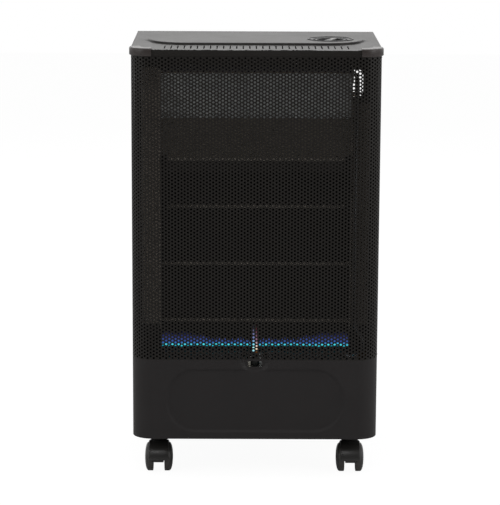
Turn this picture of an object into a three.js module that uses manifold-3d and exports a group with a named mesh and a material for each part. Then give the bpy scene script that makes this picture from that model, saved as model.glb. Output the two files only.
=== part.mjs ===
// Portable gas cabinet heater with a perforated front, on four twin-wheel casters.
// Millimetres, +Z up, the front faces -Y. The origin is on the floor, under the middle of the object.
import * as THREE from "three";
import { mergeVertices } from "three/addons/utils/BufferGeometryUtils.js";
import Module from "manifold-3d";

const wasm = await Module();
wasm.setup();

// ---------------------------------------------------------------- driving dimensions
const bodyWidth = 420;
const bodyDepth = 300; // front face to the rear edge of the top cover
const overallDepth = 412; // corner caps to the back of the rear cover
const capProud = 3; // how far the corner caps stand out of the front and sides
const cornerRadius = 34; // rounded upright corners of the front panel
const sheet = 0.8; // steel thickness of the casing
const gap = 0.4; // clearance between neighbouring sheets
const bodyBottom = 70;
const stripTop = 738; // top of the slotted strip along the front of the top cover
const plateauTop = 742; // the rest of the top cover stands this high
const flangeDepth = 10; // turned-down edge of the top cover
const screenBottom = 211;
const screenTop = 726;
const sideReturn = 62; // how far the front panel runs back along each side
const partitionFromFront = 82;
const rearCoverTop = 590;
const rearCoverRadius = 55;
const knobX = 128.5;
const knobFromFront = 157;
const casterTrail = 16;
const wheelRadius = 25;

const frontY = -overallDepth / 2 + capProud;
const bodyRearY = frontY + bodyDepth;
const coverBackY = overallDepth / 2;
const halfWidth = bodyWidth / 2;
const partitionY = frontY + partitionFromFront;
const knobY = frontY + knobFromFront;
const axisX = new THREE.Vector3(1, 0, 0);
const axisY = new THREE.Vector3(0, 1, 0);
const axisZ = new THREE.Vector3(0, 0, 1);

// ---------------------------------------------------------------- materials
function finish(color, roughness, metalness) {
  return new THREE.MeshStandardMaterial({ color, roughness, metalness });
}
const material = {
  blackPaint: finish("#232222", 0.6, 0.1),
  topPaint: finish("#5a5655", 0.55, 0.2),
  blackPlastic: finish("#1b1a1a", 0.45, 0),
  knobPlastic: finish("#242424", 0.35, 0),
  galvanised: finish("#8d9092", 0.45, 0.9),
  tintedSteel: finish("#5f5346", 0.5, 0.9),
  blackEnamel: finish("#141312", 0.7, 0.1),
  stainless: finish("#b4b4b0", 0.3, 1),
  brass: finish("#b08d4a", 0.35, 1),
  aluminium: finish("#b9bbbd", 0.4, 1),
  ceramic: finish("#e8e4da", 0.4, 0),
  leadSleeve: finish("#9a2d22", 0.6, 0),
  tread: finish("#2a2929", 0.6, 0),
};

// ---------------------------------------------------------------- helpers
function toSolid(geometry) {
  const bare = new THREE.BufferGeometry();
  bare.setAttribute("position", geometry.getAttribute("position"));
  if (geometry.index) bare.setIndex(geometry.index);
  const merged = mergeVertices(bare, 1e-3);
  return new wasm.Manifold(
    new wasm.Mesh({
      numProp: 3,
      vertProperties: merged.getAttribute("position").array,
      triVerts: new Uint32Array(merged.index.array),
    }),
  );
}

function toGeometry(solid) {
  const mesh = solid.getMesh();
  const positions = new Float32Array(mesh.numVert * 3);
  for (let i = 0; i < mesh.numVert; i++) {
    const start = i * mesh.numProp;
    positions.set(mesh.vertProperties.subarray(start, start + 3), i * 3);
  }
  const geometry = new THREE.BufferGeometry();
  geometry.setAttribute("position", new THREE.BufferAttribute(positions, 3));
  geometry.setIndex(new THREE.BufferAttribute(mesh.triVerts, 1));
  geometry.computeVertexNormals();
  return geometry;
}

function join(first, ...others) {
  return others.reduce((sum, other) => sum.add(other), first);
}

function cut(body, ...tools) {
  return tools.reduce((rest, tool) => rest.subtract(tool), body);
}

// A box given by its lowest and highest corners.
function box([x0, y0, z0], [x1, y1, z1]) {
  const geometry = new THREE.BoxGeometry(x1 - x0, y1 - y0, z1 - z0);
  geometry.translate((x0 + x1) / 2, (y0 + y1) / 2, (z0 + z1) / 2);
  return toSolid(geometry);
}

// A round bar between two heights or places along one of the three axes.
function rod(axis, radius, from, to, [a, b], sides = 16) {
  const geometry = new THREE.CylinderGeometry(radius, radius, to - from, sides);
  geometry.translate(0, (from + to) / 2, 0);
  if (axis === "x") {
    geometry.rotateZ(-Math.PI / 2);
    geometry.translate(0, a, b);
  } else if (axis === "y") {
    geometry.translate(a, 0, b);
  } else {
    geometry.rotateX(Math.PI / 2);
    geometry.translate(a, b, 0);
  }
  return toSolid(geometry);
}

function extruded(shape, from, to, curveSegments) {
  const geometry = new THREE.ExtrudeGeometry(shape, {
    depth: to - from,
    bevelEnabled: false,
    curveSegments,
  });
  geometry.translate(0, 0, from);
  return geometry;
}

// A plan outline (x, y) raised from one height to another. An arc gets twice curveSegments.
function raised(shape, z0, z1, curveSegments = 3) {
  return toSolid(extruded(shape, z0, z1, curveSegments));
}

// An outline seen from the front (x, z), running from y0 back to y1.
function frontal(shape, y0, y1, curveSegments = 2) {
  const geometry = extruded(shape, -y1, -y0, curveSegments);
  geometry.applyMatrix4(
    new THREE.Matrix4().makeBasis(axisX, axisZ, axisY.clone().negate()),
  );
  return toSolid(geometry);
}

// An outline seen from the side (y, z), running from x0 to x1.
function sideways(shape, x0, x1, curveSegments = 2) {
  const geometry = extruded(shape, x0, x1, curveSegments);
  geometry.applyMatrix4(new THREE.Matrix4().makeBasis(axisY, axisZ, axisX));
  return toSolid(geometry);
}

function polygon(points) {
  return new THREE.Shape(points.map(([x, y]) => new THREE.Vector2(x, y)));
}

function roundedRect(cx, cy, width, height, radius) {
  const [left, right] = [cx - width / 2, cx + width / 2];
  const [low, high] = [cy - height / 2, cy + height / 2];
  const shape = new THREE.Shape();
  shape.moveTo(left + radius, low);
  shape.lineTo(right - radius, low);
  shape.absarc(right - radius, low + radius, radius, -Math.PI / 2, 0);
  shape.lineTo(right, high - radius);
  shape.absarc(right - radius, high - radius, radius, 0, Math.PI / 2);
  shape.lineTo(left + radius, high);
  shape.absarc(left + radius, high - radius, radius, Math.PI / 2, Math.PI);
  shape.lineTo(left, low + radius);
  shape.absarc(left + radius, low + radius, radius, Math.PI, 1.5 * Math.PI);
  return shape;
}

function hexagon(cx, cy, radius) {
  const corners = [0, 1, 2, 3, 4, 5].map((k) => [
    cx + radius * Math.cos((k * Math.PI) / 3),
    cy + radius * Math.sin((k * Math.PI) / 3),
  ]);
  return polygon(corners);
}

// A folded sheet: the outline of a polyline given a thickness on its left-hand side.
function folded(points, thickness) {
  const line = points.map(([x, y]) => new THREE.Vector2(x, y));
  const normals = line.slice(1).map((p, i) => {
    const along = p.clone().sub(line[i]).normalize();
    return new THREE.Vector2(-along.y, along.x);
  });
  const offset = line.map((p, i) => {
    const before = normals[Math.max(i - 1, 0)];
    const after = normals[Math.min(i, normals.length - 1)];
    const mitre = before.clone().add(after).normalize();
    return p.clone().addScaledVector(mitre, thickness / mitre.dot(after));
  });
  return new THREE.Shape([...line, ...offset.reverse()]);
}

// A smooth curve whose sections follow its listed points, so a straight run takes few of them.
class BentLine extends THREE.CatmullRomCurve3 {
  getPointAt(u) {
    return this.getPoint(u);
  }

  getTangentAt(u) {
    return this.getTangent(u);
  }
}

// A tube through the given points, with two sections from each point to the next.
function tube(points, radius, sides = 6) {
  const path = new BentLine(
    points.map((p) => new THREE.Vector3(...p)),
    false,
    "centripetal",
  );
  const ring = [...Array(sides).keys()].map((k) => {
    const angle = (2 * Math.PI * k) / sides;
    return [radius * Math.cos(angle), radius * Math.sin(angle)];
  });
  const geometry = new THREE.ExtrudeGeometry(polygon(ring), {
    steps: 2 * (points.length - 1),
    extrudePath: path,
    bevelEnabled: false,
  });
  return toSolid(geometry);
}

const root = new THREE.Group();

function place(name, solid, paint, parent = root) {
  const mesh = new THREE.Mesh(toGeometry(solid), paint);
  mesh.name = name;
  parent.add(mesh);
  return mesh;
}

// A shallow pressing: a pan of the given outline sunk into a sheet.
// sink and tool are the same outline drawn as the pan's outside and inside.
function pressed(body, sink, tool) {
  return cut(join(body, sink), tool);
}

// ---------------------------------------------------------------- casing
// Plan outline of the front panel's sheet: across the front and back along both sides.
function wrapOutline(outside, inside, returnTo) {
  const centreY = frontY + cornerRadius;
  const shape = new THREE.Shape();
  const centreX = halfWidth - cornerRadius;
  const [big, small] = [cornerRadius + outside, cornerRadius + inside];
  shape.moveTo(-centreX - big, returnTo);
  shape.lineTo(-centreX - big, centreY);
  shape.absarc(-centreX, centreY, big, Math.PI, 1.5 * Math.PI, false);
  shape.absarc(centreX, centreY, big, 1.5 * Math.PI, 2 * Math.PI, false);
  shape.lineTo(centreX + big, returnTo);
  shape.lineTo(centreX + small, returnTo);
  shape.absarc(centreX, centreY, small, 2 * Math.PI, 1.5 * Math.PI, true);
  shape.absarc(-centreX, centreY, small, 1.5 * Math.PI, Math.PI, true);
  shape.lineTo(-centreX - small, returnTo);
  return shape;
}

function frontPanel() {
  const coarsePitch = 62; // stands in for the real 6 mm perforation, with the same open share
  const holeRadius = 0.337 * coarsePitch;
  const columnStep = coarsePitch * Math.sin(Math.PI / 3);
  const pressingDepth = 3;
  const pressing = { z: 137.5, width: 306, height: 113, radius: 50 };
  const dish = { z: 209, radius: 23, depth: 4 };
  const sightPort = { z: 201.3, width: 24, height: 9.6 };

  let panel = raised(
    wrapOutline(0, -sheet, frontY + sideReturn),
    bodyBottom,
    stripTop - sheet - gap,
  );
  panel = pressed(
    panel,
    frontal(
      roundedRect(0, pressing.z, pressing.width, pressing.height, pressing.radius),
      frontY + sheet / 2,
      frontY + pressingDepth + sheet,
    ),
    frontal(
      roundedRect(
        0,
        pressing.z,
        pressing.width - 2 * sheet,
        pressing.height - 2 * sheet,
        pressing.radius - sheet,
      ),
      frontY - 1,
      frontY + pressingDepth,
    ),
  );
  const dishOutside = rod("y", dish.radius, frontY + sheet / 2, frontY + dish.depth + sheet, [0, dish.z], 20);
  const dishInside = rod("y", dish.radius - sheet, frontY - 1, frontY + dish.depth, [0, dish.z], 20);
  panel = pressed(panel, dishOutside, dishInside);
  panel = cut(
    panel,
    box(
      [-sightPort.width / 2, frontY, sightPort.z - sightPort.height / 2],
      [sightPort.width / 2, frontY + 10, sightPort.z + sightPort.height / 2],
    ),
  );

  const openings = [];
  for (let column = -3; column <= 3; column++) {
    const lowest = screenBottom + (column % 2 === 0 ? 52 : 21);
    for (let z = lowest; z < screenTop - holeRadius / 2; z += coarsePitch) {
      openings.push(frontal(hexagon(column * columnStep, z, holeRadius), frontY - 1, frontY + 2));
    }
  }
  for (let z = screenBottom + 52; z < screenTop - holeRadius / 2; z += coarsePitch) {
    const across = hexagon(frontY + 47, z, holeRadius / 2);
    openings.push(sideways(across, -halfWidth - 1, halfWidth + 1));
  }
  return cut(panel, wasm.Manifold.union(openings));
}

const trayWall = 9;
const flangeFoot = bodyBottom + 13; // upright flanges end here, above the base tray's rim

// Both side panels: a sheet with a rear flange, and a long oval pressed into it.
function sidePanel(side) {
  const outer = halfWidth - sheet - gap; // tucked under the front panel's edge
  const frontEdge = frontY + sideReturn - 12;
  const flange = 14;
  const [low, high] = [bodyBottom + 2, stripTop - sheet - gap];
  const plan = polygon([
    [outer, frontEdge],
    [outer, bodyRearY],
    [outer - flange, bodyRearY],
    [outer - flange, bodyRearY - sheet],
    [outer - sheet, bodyRearY - sheet],
    [outer - sheet, frontEdge],
  ]);
  const pressing = { z: 405, length: 150, height: 430, radius: 50, depth: 3 };
  const trayClearance = box([0, bodyRearY - 1.5, low - 1], [outer - sheet, bodyRearY + 1, flangeFoot]);
  const middleY = (frontY + sideReturn + bodyRearY) / 2;
  const oval = (inset) =>
    roundedRect(
      middleY,
      pressing.z,
      pressing.length - 2 * inset,
      pressing.height - 2 * inset,
      pressing.radius - inset,
    );
  const panel = pressed(
    cut(raised(plan, low, high), trayClearance),
    sideways(oval(0), outer - pressing.depth - sheet, outer - sheet / 2),
    sideways(oval(sheet), outer - pressing.depth, outer + 1),
  );
  return side > 0 ? panel : panel.mirror([1, 0, 0]);
}

function baseTray() {
  const floorZ = bodyBottom + 1.5;
  const wallTop = floorZ + trayWall;
  const inset = sheet + gap;
  const play = 2; // the tray slides in between the side panels
  const stemHole = 5.6;
  const vent = { pitch: 40, halfWidth: 5, frontY: -45, rearY: 65 };
  const outline = (shrink) => {
    const half = halfWidth - inset - shrink - play;
    const rear = coverBackY - inset - shrink - play;
    const front = frontY + inset + shrink;
    const frontRadius = cornerRadius - inset - shrink;
    const rearRadius = rearCoverRadius - shrink;
    const shape = new THREE.Shape();
    shape.absarc(-half + frontRadius, front + frontRadius, frontRadius, Math.PI, 1.5 * Math.PI);
    shape.absarc(half - frontRadius, front + frontRadius, frontRadius, 1.5 * Math.PI, 2 * Math.PI);
    shape.absarc(half - rearRadius, rear - rearRadius, rearRadius, 0, Math.PI / 2);
    shape.absarc(-half + rearRadius, rear - rearRadius, rearRadius, Math.PI / 2, Math.PI);
    return shape;
  };
  const thick = 1;
  let tray = cut(
    raised(outline(0), floorZ, wallTop),
    raised(outline(thick), floorZ + thick, wallTop + 1),
  );
  for (const { x, y } of casterPlaces) {
    tray = cut(tray, rod("z", stemHole, floorZ - 1, floorZ + 3, [x, y], 12));
  }
  const vents = [];
  for (let k = -2; k <= 2; k++) {
    const x = k * vent.pitch;
    vents.push(
      box([x - vent.halfWidth, vent.frontY, floorZ - 1], [x + vent.halfWidth, vent.rearY, floorZ + 3]),
    );
  }
  return cut(tray, wasm.Manifold.union(vents));
}

// The curved step in the top cover, as (x, distance behind the front face).
function ridgeLine() {
  const straightHalf = 122;
  const straightAt = 86;
  const tip = { x: 186, at: 146 };
  const curve = new THREE.QuadraticBezierCurve(
    new THREE.Vector2(straightHalf, straightAt),
    new THREE.Vector2(168, straightAt + 4),
    new THREE.Vector2(tip.x, tip.at),
  );
  const right = curve.getPoints(5).map((p) => [p.x, frontY + p.y]);
  const left = right.map(([x, y]) => [-x, y]).reverse();
  return [...left, ...right];
}

function topCover() {
  const reach = gap + sheet; // the flange hangs outside the casing
  const ridge = ridgeLine();
  const edge = halfWidth + reach;
  const sideY = ridge[0][1] + 6;
  const step = 0.8;
  const rear = bodyRearY + reach;

  const outline = (grow) => {
    const radius = cornerRadius + grow;
    const centre = [halfWidth - cornerRadius, frontY + cornerRadius];
    const shape = new THREE.Shape();
    shape.moveTo(-halfWidth - grow, bodyRearY + grow);
    shape.lineTo(-halfWidth - grow, centre[1]);
    shape.absarc(-centre[0], centre[1], radius, Math.PI, 1.5 * Math.PI);
    shape.absarc(centre[0], centre[1], radius, 1.5 * Math.PI, 2 * Math.PI);
    shape.lineTo(halfWidth + grow, bodyRearY + grow);
    return shape;
  };
  const behindRidge = (shift, top) =>
    polygon([
      [-edge - 5, sideY + shift],
      ...ridge.map(([x, y]) => [x, y + shift]),
      [edge + 5, sideY + shift],
      [edge + 5, top],
      [-edge - 5, top],
    ]);

  // A block of the full height, lowered in front of the ridge, then hollowed from below.
  const block = raised(outline(reach), stripTop - flangeDepth, plateauTop);
  const low = cut(block, raised(outline(reach + 1), stripTop, plateauTop + 1));
  const high = block.intersect(raised(behindRidge(0, rear + 5), 0, plateauTop + 1));
  const hollow = raised(outline(gap), 0, stripTop - sheet);
  const hollowHigh = raised(outline(gap), 0, plateauTop - sheet).intersect(
    raised(behindRidge(step, rear + 5), 0, plateauTop),
  );
  const cover = cut(join(low, high), hollow, hollowHigh);

  const slot = { count: 29, pitch: 11, halfWidth: 2.3, middleY: frontY + 44, halfLength: 17 };
  const slots = [];
  for (let k = 0; k < slot.count; k++) {
    const x = (k - (slot.count - 1) / 2) * slot.pitch;
    slots.push(
      box(
        [x - slot.halfWidth, slot.middleY - slot.halfLength, stripTop - 3],
        [x + slot.halfWidth, slot.middleY + slot.halfLength, stripTop + 1],
      ),
    );
  }
  const knobHole = rod("z", knobCup.outer + 2 * gap, plateauTop - 20, plateauTop + 1, [knobX, knobY], 24);
  return cut(cover, wasm.Manifold.union(slots), knobHole);
}

function cornerCap(side) {
  const legFront = 38;
  const legSide = 42;
  const [inside, outside] = [gap + sheet + 0.4, capProud];
  const centre = [halfWidth - cornerRadius, frontY + cornerRadius];
  const wall = (inner, outer) => {
    const shape = new THREE.Shape();
    const endX = halfWidth + capProud - legFront;
    const endY = frontY - capProud + legSide;
    shape.moveTo(endX, frontY - outer);
    shape.lineTo(centre[0], frontY - outer);
    shape.absarc(centre[0], centre[1], cornerRadius + outer, 1.5 * Math.PI, 2 * Math.PI);
    shape.lineTo(halfWidth + outer, endY);
    shape.lineTo(halfWidth + inner, endY);
    shape.absarc(centre[0], centre[1], cornerRadius + inner, 2 * Math.PI, 1.5 * Math.PI, true);
    shape.lineTo(endX, frontY - inner);
    return shape;
  };
  const lipTop = stripTop + 1.7;
  const cap = join(
    raised(wall(inside, outside), stripTop - flangeDepth - 0.5, lipTop),
    raised(wall(-7, outside), stripTop + 0.3, lipTop),
  );
  return side > 0 ? cap : cap.mirror([1, 0, 0]);
}

// Three thin lines run down behind the partition side by side and come through it low down.
const leadHoleZ = 172;
const leadLane = (rank) => 198 - 6 * rank;

function partitionPanel() {
  const half = halfWidth - 2 * (sheet + gap) - 1;
  const [low, high] = [bodyBottom + 3, stripTop - sheet - gap];
  const panel = box([-half, partitionY, low], [half, partitionY + sheet, high]);
  const window = { x: 172, z: 674, width: 20, height: 48, radius: 9 };
  const pipeWindow = frontal(
    roundedRect(window.x, window.z, window.width, window.height, window.radius),
    partitionY - 1,
    partitionY + 2,
  );
  const trayNotch = (side) =>
    box(
      [side * half - 3, partitionY - 1, low - 1],
      [side * half + 3, partitionY + 2, flangeFoot],
    );
  const leadHoles = [0, 1, 2].map((rank) =>
    rod("y", 2.9, partitionY - 1, partitionY + 2, [leadLane(rank), leadHoleZ], 8),
  );
  return cut(panel, pipeWindow, trayNotch(-1), trayNotch(1), ...leadHoles);
}

function rearCrossbar() {
  const half = halfWidth - 2 * (sheet + gap) - 2;
  const [low, high] = [690, 716];
  const [front, rear] = [bodyRearY - 14, bodyRearY - 1.3 - sheet];
  const profile = folded(
    [
      [front, high],
      [rear, high],
      [rear, low],
      [front, low],
    ],
    -1.2,
  );
  return sideways(profile, -half, half);
}

function rearCover() {
  const half = halfWidth - sheet - gap;
  const wingFront = bodyRearY + gap;
  const wingFlange = 13;
  const [low, high] = [bodyBottom + 4, rearCoverTop];
  const pressing = { z: 330, side: 250, radius: 50, depth: 3 };
  const louvre = { columnStep: 84, halfWidth: 36, halfHeight: 3, rows: [112, 136, 160, 500, 524, 548] };
  const outline = (shrink, front) => {
    const radius = rearCoverRadius - shrink;
    const rear = coverBackY - shrink;
    const shape = new THREE.Shape();
    shape.moveTo(half - shrink, front);
    shape.lineTo(half - shrink, rear - radius);
    shape.absarc(half - shrink - radius, rear - radius, radius, 0, Math.PI / 2);
    shape.absarc(-half + shrink + radius, rear - radius, radius, Math.PI / 2, Math.PI);
    shape.lineTo(-half + shrink, front);
    return shape;
  };
  const shell = cut(
    raised(outline(0, wingFront), low, high),
    raised(outline(sheet, wingFront + sheet), low - 1, high + 1),
    box([-half + wingFlange, wingFront - 1, low - 1], [half - wingFlange, wingFront + 2, high + 1]),
    box([-half + sheet, wingFront - 1, low - 1], [half - sheet, wingFront + 2, flangeFoot]),
  );
  const rimWidth = 5;
  const topRim = cut(
    raised(outline(0, wingFront), high - sheet, high),
    raised(outline(rimWidth, wingFront - 1), high - 2, high + 1),
  );
  const oval = (inset) => {
    const side = pressing.side - 2 * inset;
    return roundedRect(0, pressing.z, side, side, pressing.radius - inset);
  };
  const cover = pressed(
    join(shell, topRim),
    frontal(oval(0), coverBackY - pressing.depth - sheet, coverBackY - sheet / 2),
    frontal(oval(sheet), coverBackY - pressing.depth, coverBackY + 1),
  );
  const slots = [];
  for (const rowZ of louvre.rows) {
    for (let k = -1; k <= 1; k++) {
      const x = k * louvre.columnStep;
      slots.push(
        box(
          [x - louvre.halfWidth, coverBackY - 2, rowZ - louvre.halfHeight],
          [x + louvre.halfWidth, coverBackY + 1, rowZ + louvre.halfHeight],
        ),
      );
    }
  }
  return cut(cover, wasm.Manifold.union(slots));
}

// ---------------------------------------------------------------- combustion chamber
const chamberHalf = 162;
const chamberFrontY = frontY + 40;
const chamberLow = 254;
const chamberHigh = 700;

// The plate behind the flames: three folds stiffen it, each stepping it forward by 1 mm.
function chamberBack() {
  const backY = partitionY - 10;
  const [plateLow, plateHigh] = [200, 525];
  const [firstFold, foldStep, foldDepth] = [262, 100, 7];
  const folds = [0, 1, 2].flatMap((k) => {
    const z = firstFold + k * foldStep;
    return [
      [backY - k, z - 3],
      [backY - k - foldDepth, z],
      [backY - k - 1, z + 4],
    ];
  });
  const profile = folded([[backY, plateLow], ...folds, [backY - 3, plateHigh]], -sheet);
  const plate = sideways(profile, -chamberHalf + 1, chamberHalf - 1);
  const hole = { radius: 7, pitch: 35.4, z: 511 };
  const holes = [];
  for (let k = -3.5; k <= 3.5; k++) {
    holes.push(rod("y", hole.radius, backY - 6, backY + 1, [k * hole.pitch, hole.z], 8));
  }
  return cut(plate, wasm.Manifold.union(holes));
}

// A side wall of the chamber, with a tapering front flange and an outer flange that closes the side.
function chamberSide(side) {
  const rearY = partitionY - gap;
  const wall = box(
    [chamberHalf, chamberFrontY, chamberLow],
    [chamberHalf + sheet, rearY, chamberHigh],
  );
  const flange = frontal(
    polygon([
      [chamberHalf - 11, 465],
      [chamberHalf + sheet, 445],
      [chamberHalf + sheet, 556],
      [chamberHalf - 11, 556],
    ]),
    chamberFrontY,
    chamberFrontY + sheet,
  );
  const outerTop = side > 0 ? 640 : chamberHigh; // lower where the gas pipe comes through
  const outer = box(
    [chamberHalf, rearY - sheet, chamberLow],
    [chamberHalf + 34, rearY, outerTop],
  );
  const part = join(wall, flange, outer);
  return side > 0 ? part : part.mirror([1, 0, 0]);
}

// The hood over the flames: a front lip and a plate that leans forward as it rises.
function chamberHood() {
  const profile = folded(
    [
      [partitionY - 14, 532],
      [chamberFrontY + 8, 526],
      [chamberFrontY + 4, 528],
      [chamberFrontY + 4, 546],
      [chamberFrontY + 8, 550],
      [partitionY - 24, 617],
    ],
    sheet,
  );
  return sideways(profile, -chamberHalf + 1, chamberHalf - 1);
}

function heatDeflector() {
  const profile = folded(
    [
      [partitionY - 26, 618],
      [partitionY - 18, 622],
      [partitionY - 30, 694],
      [partitionY - 2, 704],
    ],
    -sheet,
  );
  return sideways(profile, -chamberHalf + 1, chamberHalf - 1);
}

// ---------------------------------------------------------------- burner and pilot
const burner = { y: frontY + 54, top: 214, half: 156, width: 18, height: 22, radius: 8 };
const burnerZ = burner.top - burner.height / 2;

function burnerTube() {
  const section = roundedRect(burner.y, burnerZ, burner.width, burner.height, burner.radius);
  const body = sideways(section, -burner.half, burner.half);
  const port = { pitch: 23, halfLength: 8, halfWidth: 1.5 };
  const ports = [];
  for (let k = -5.5; k <= 5.5; k++) {
    const x = k * port.pitch;
    ports.push(
      box(
        [x - port.halfLength, burner.y - port.halfWidth, burner.top - 2],
        [x + port.halfLength, burner.y + port.halfWidth, burner.top + 1],
      ),
    );
  }
  return cut(body, wasm.Manifold.union(ports));
}

function burnerBracket(side) {
  const inner = burner.half - 6;
  const thick = 1.2;
  const [low, high] = [186, 222];
  const hole = roundedRect(
    burner.y,
    burnerZ,
    burner.width + 2 * gap,
    burner.height + 2 * gap,
    burner.radius + gap,
  );
  const plate = box([inner, burner.y - 16, low], [inner + thick, partitionY - gap, high]);
  const foot = box([inner, partitionY - gap - thick, low], [inner + 8, partitionY - gap, high]);
  const backPlateSlot = box([inner - 1, partitionY - 14, 199], [inner + 3, partitionY - 8, high + 1]);
  const part = cut(join(plate, foot), sideways(hole, inner - 1, inner + 3), backPlateSlot);
  return side > 0 ? part : part.mirror([1, 0, 0]);
}

function airMixer() {
  const profile = [
    [0, 156.4],
    [7, 156.4],
    [5, 164],
    [5, 168],
    [7.5, 174],
    [7.5, 175.5],
    [0, 175.5],
  ].map(([r, x]) => new THREE.Vector2(r, x));
  const geometry = new THREE.LatheGeometry(profile, 12);
  geometry.rotateZ(-Math.PI / 2);
  geometry.translate(0, burner.y, burnerZ);
  const cone = toSolid(geometry);
  return cut(cone, rod("x", 3.6, 150, 180, [burner.y, burnerZ], 8));
}

function gasInjector() {
  const block = box([180, burner.y - 7, burnerZ - 8], [194, burner.y + 7, burnerZ + 9]);
  const nozzle = rod("x", 2.6, 176.2, 181, [burner.y, burnerZ], 8);
  return join(block, nozzle);
}

// The arched lip in front of the burner, seen through the lowest rows of the perforation.
const guardY = frontY + 36;

function burnerGuard() {
  const [half, shelfZ] = [150, 190];
  const shape = new THREE.Shape();
  shape.moveTo(-half, shelfZ);
  shape.lineTo(half, shelfZ);
  shape.lineTo(half, 206);
  shape.quadraticCurveTo(70, 214, 24, 216);
  shape.lineTo(22, 196);
  shape.lineTo(-22, 196);
  shape.lineTo(-24, 216);
  shape.quadraticCurveTo(-70, 214, -half, 206);
  const lip = frontal(shape, guardY, guardY + sheet, 4);
  const shelf = box([-half, guardY, shelfZ], [half, partitionY - gap, shelfZ + sheet]);
  return join(lip, shelf);
}

const pilotY = frontY + 30;
const probeY = pilotY - 8; // the pilot burner, thermocouple and electrode stand in one row
const probeStep = 10;

function pilotBracket() {
  const [half, low] = [16, 186];
  const plate = frontal(
    polygon([
      [-half, low],
      [half, low],
      [20, 208],
      [15, 208],
      [11, 197],
      [-11, 197],
      [-15, 208],
      [-20, 208],
    ]),
    pilotY,
    pilotY + 1,
  );
  const shelf = box([-half, pilotY - 15, low], [half, guardY - gap, low + 1.2]);
  const foot = box([-half, guardY - 1.4, low], [half, guardY - gap, low + 9]);
  return cut(
    join(plate, shelf, foot),
    rod("z", 4.4, 180, 195, [0, probeY], 10),
    rod("z", 3.4, 180, 195, [probeStep, probeY], 10),
    rod("z", 3.4, 180, 195, [-probeStep, probeY], 10),
  );
}

function pilotBurner() {
  return join(
    rod("z", 4, 178, 200, [0, probeY], 10),
    rod("z", 6, 196, 204, [0, probeY], 10),
  );
}

function thermocouple() {
  return join(
    rod("z", 3, 176, 198, [probeStep, probeY], 10),
    rod("z", 2, 197, 212, [probeStep, probeY], 10),
  );
}

function electrodeCeramic() {
  return cut(
    rod("z", 3, 178, 203, [-probeStep, probeY], 10),
    rod("z", 1.2, 170, 210, [-probeStep, probeY], 8),
  );
}

function electrodeRod() {
  return tube(
    [
      [-probeStep, probeY, 176],
      [-probeStep, probeY, 204],
      [-probeStep + 1, probeY, 209],
      [-probeStep + 5, probeY, 212],
    ],
    0.7,
    5,
  );
}

// ---------------------------------------------------------------- gas valve and control
const knobCup = { outer: 31, inner: 29.4, floor: 717.5 };
const knob = { radius: 27.5, top: 741.5, bottom: 725.5, pocketFloor: 732 };
const spindleTop = 736.6;
const valveBodyTop = 698;
const valveTop = 712; // top of the valve's neck
const portZ = 682; // the gas enters and leaves the valve at this height
const igniterAt = [-27, -36]; // from the knob's axis

function knobBezel() {
  const profile = [
    [12, knobCup.floor - 1.5],
    [knobCup.outer, knobCup.floor - 1.5],
    [knobCup.outer, plateauTop + 0.3],
    [40, plateauTop + 0.3],
    [39.4, plateauTop + 1],
    [knobCup.inner + 0.6, plateauTop + 1],
    [knobCup.inner, plateauTop + 0.4],
    [knobCup.inner, knobCup.floor],
    [12, knobCup.floor],
    [12, knobCup.floor - 1.5],
  ].map(([r, z]) => new THREE.Vector2(r, z));
  const geometry = new THREE.LatheGeometry(profile, 24);
  geometry.rotateX(Math.PI / 2);
  return toSolid(geometry);
}

// A flush knob: a bar to grip between two deep finger pockets.
function controlKnob() {
  const barHalf = 5.5;
  const pocketRadius = 22.5;
  const profile = [
    [0, knob.bottom],
    [knob.radius - 0.4, knob.bottom],
    [knob.radius, knob.top - 1],
    [knob.radius - 1, knob.top],
    [0, knob.top],
  ].map(([r, z]) => new THREE.Vector2(r, z));
  const geometry = new THREE.LatheGeometry(profile, 24);
  geometry.rotateX(Math.PI / 2);
  const pockets = cut(
    rod("z", pocketRadius, knob.pocketFloor, knob.top + 1, [0, 0], 20),
    box([-barHalf, -30, 0], [barHalf, 30, knob.top + 2]),
  );
  return cut(
    toSolid(geometry),
    pockets,
    rod("z", 4.6, knob.bottom - 1, spindleTop + gap, [0, 0], 12),
  );
}

function valveSpindle() {
  return rod("z", 4, 700, spindleTop, [0, 0], 12);
}

function valvePlunger() {
  return cut(rod("z", 7, 705, valveTop + 1, [0, 0], 14), rod("z", 4.5, 700, 720, [0, 0], 12));
}

function gasValve() {
  const body = join(
    box([-27, -17, 666], [27, 17, valveBodyTop]),
    rod("z", 10, valveBodyTop - 1, valveTop, [0, 0], 16),
    rod("x", 7, 26, 33, [0, portZ], 6),
  );
  return cut(
    body,
    rod("z", 7.6, valveBodyTop + 0.5, valveTop + 1, [0, 0], 16),
    rod("z", 4.8, 692, valveBodyTop + 2, [0, 0], 12),
  );
}

function valveBracket() {
  const z = valveBodyTop + gap;
  const [half, thick] = [38, 1.5];
  const frontEdge = partitionY + sheet + gap - knobY;
  const plate = box([-half, frontEdge, z], [half, 26, z + thick]);
  const flange = box([-half, frontEdge, z - 24], [half, frontEdge + thick, z + thick]);
  return cut(
    join(plate, flange),
    rod("z", 10.5, z - 1, z + 3, [0, 0], 16),
    rod("z", 7.4, z - 1, z + 3, igniterAt, 12),
  );
}

function piezoIgniter() {
  return join(
    rod("z", 7, 668, 712, igniterAt, 12),
    rod("z", 9, valveBodyTop + 2.4, valveBodyTop + 5.4, igniterAt, 6),
  );
}

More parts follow.
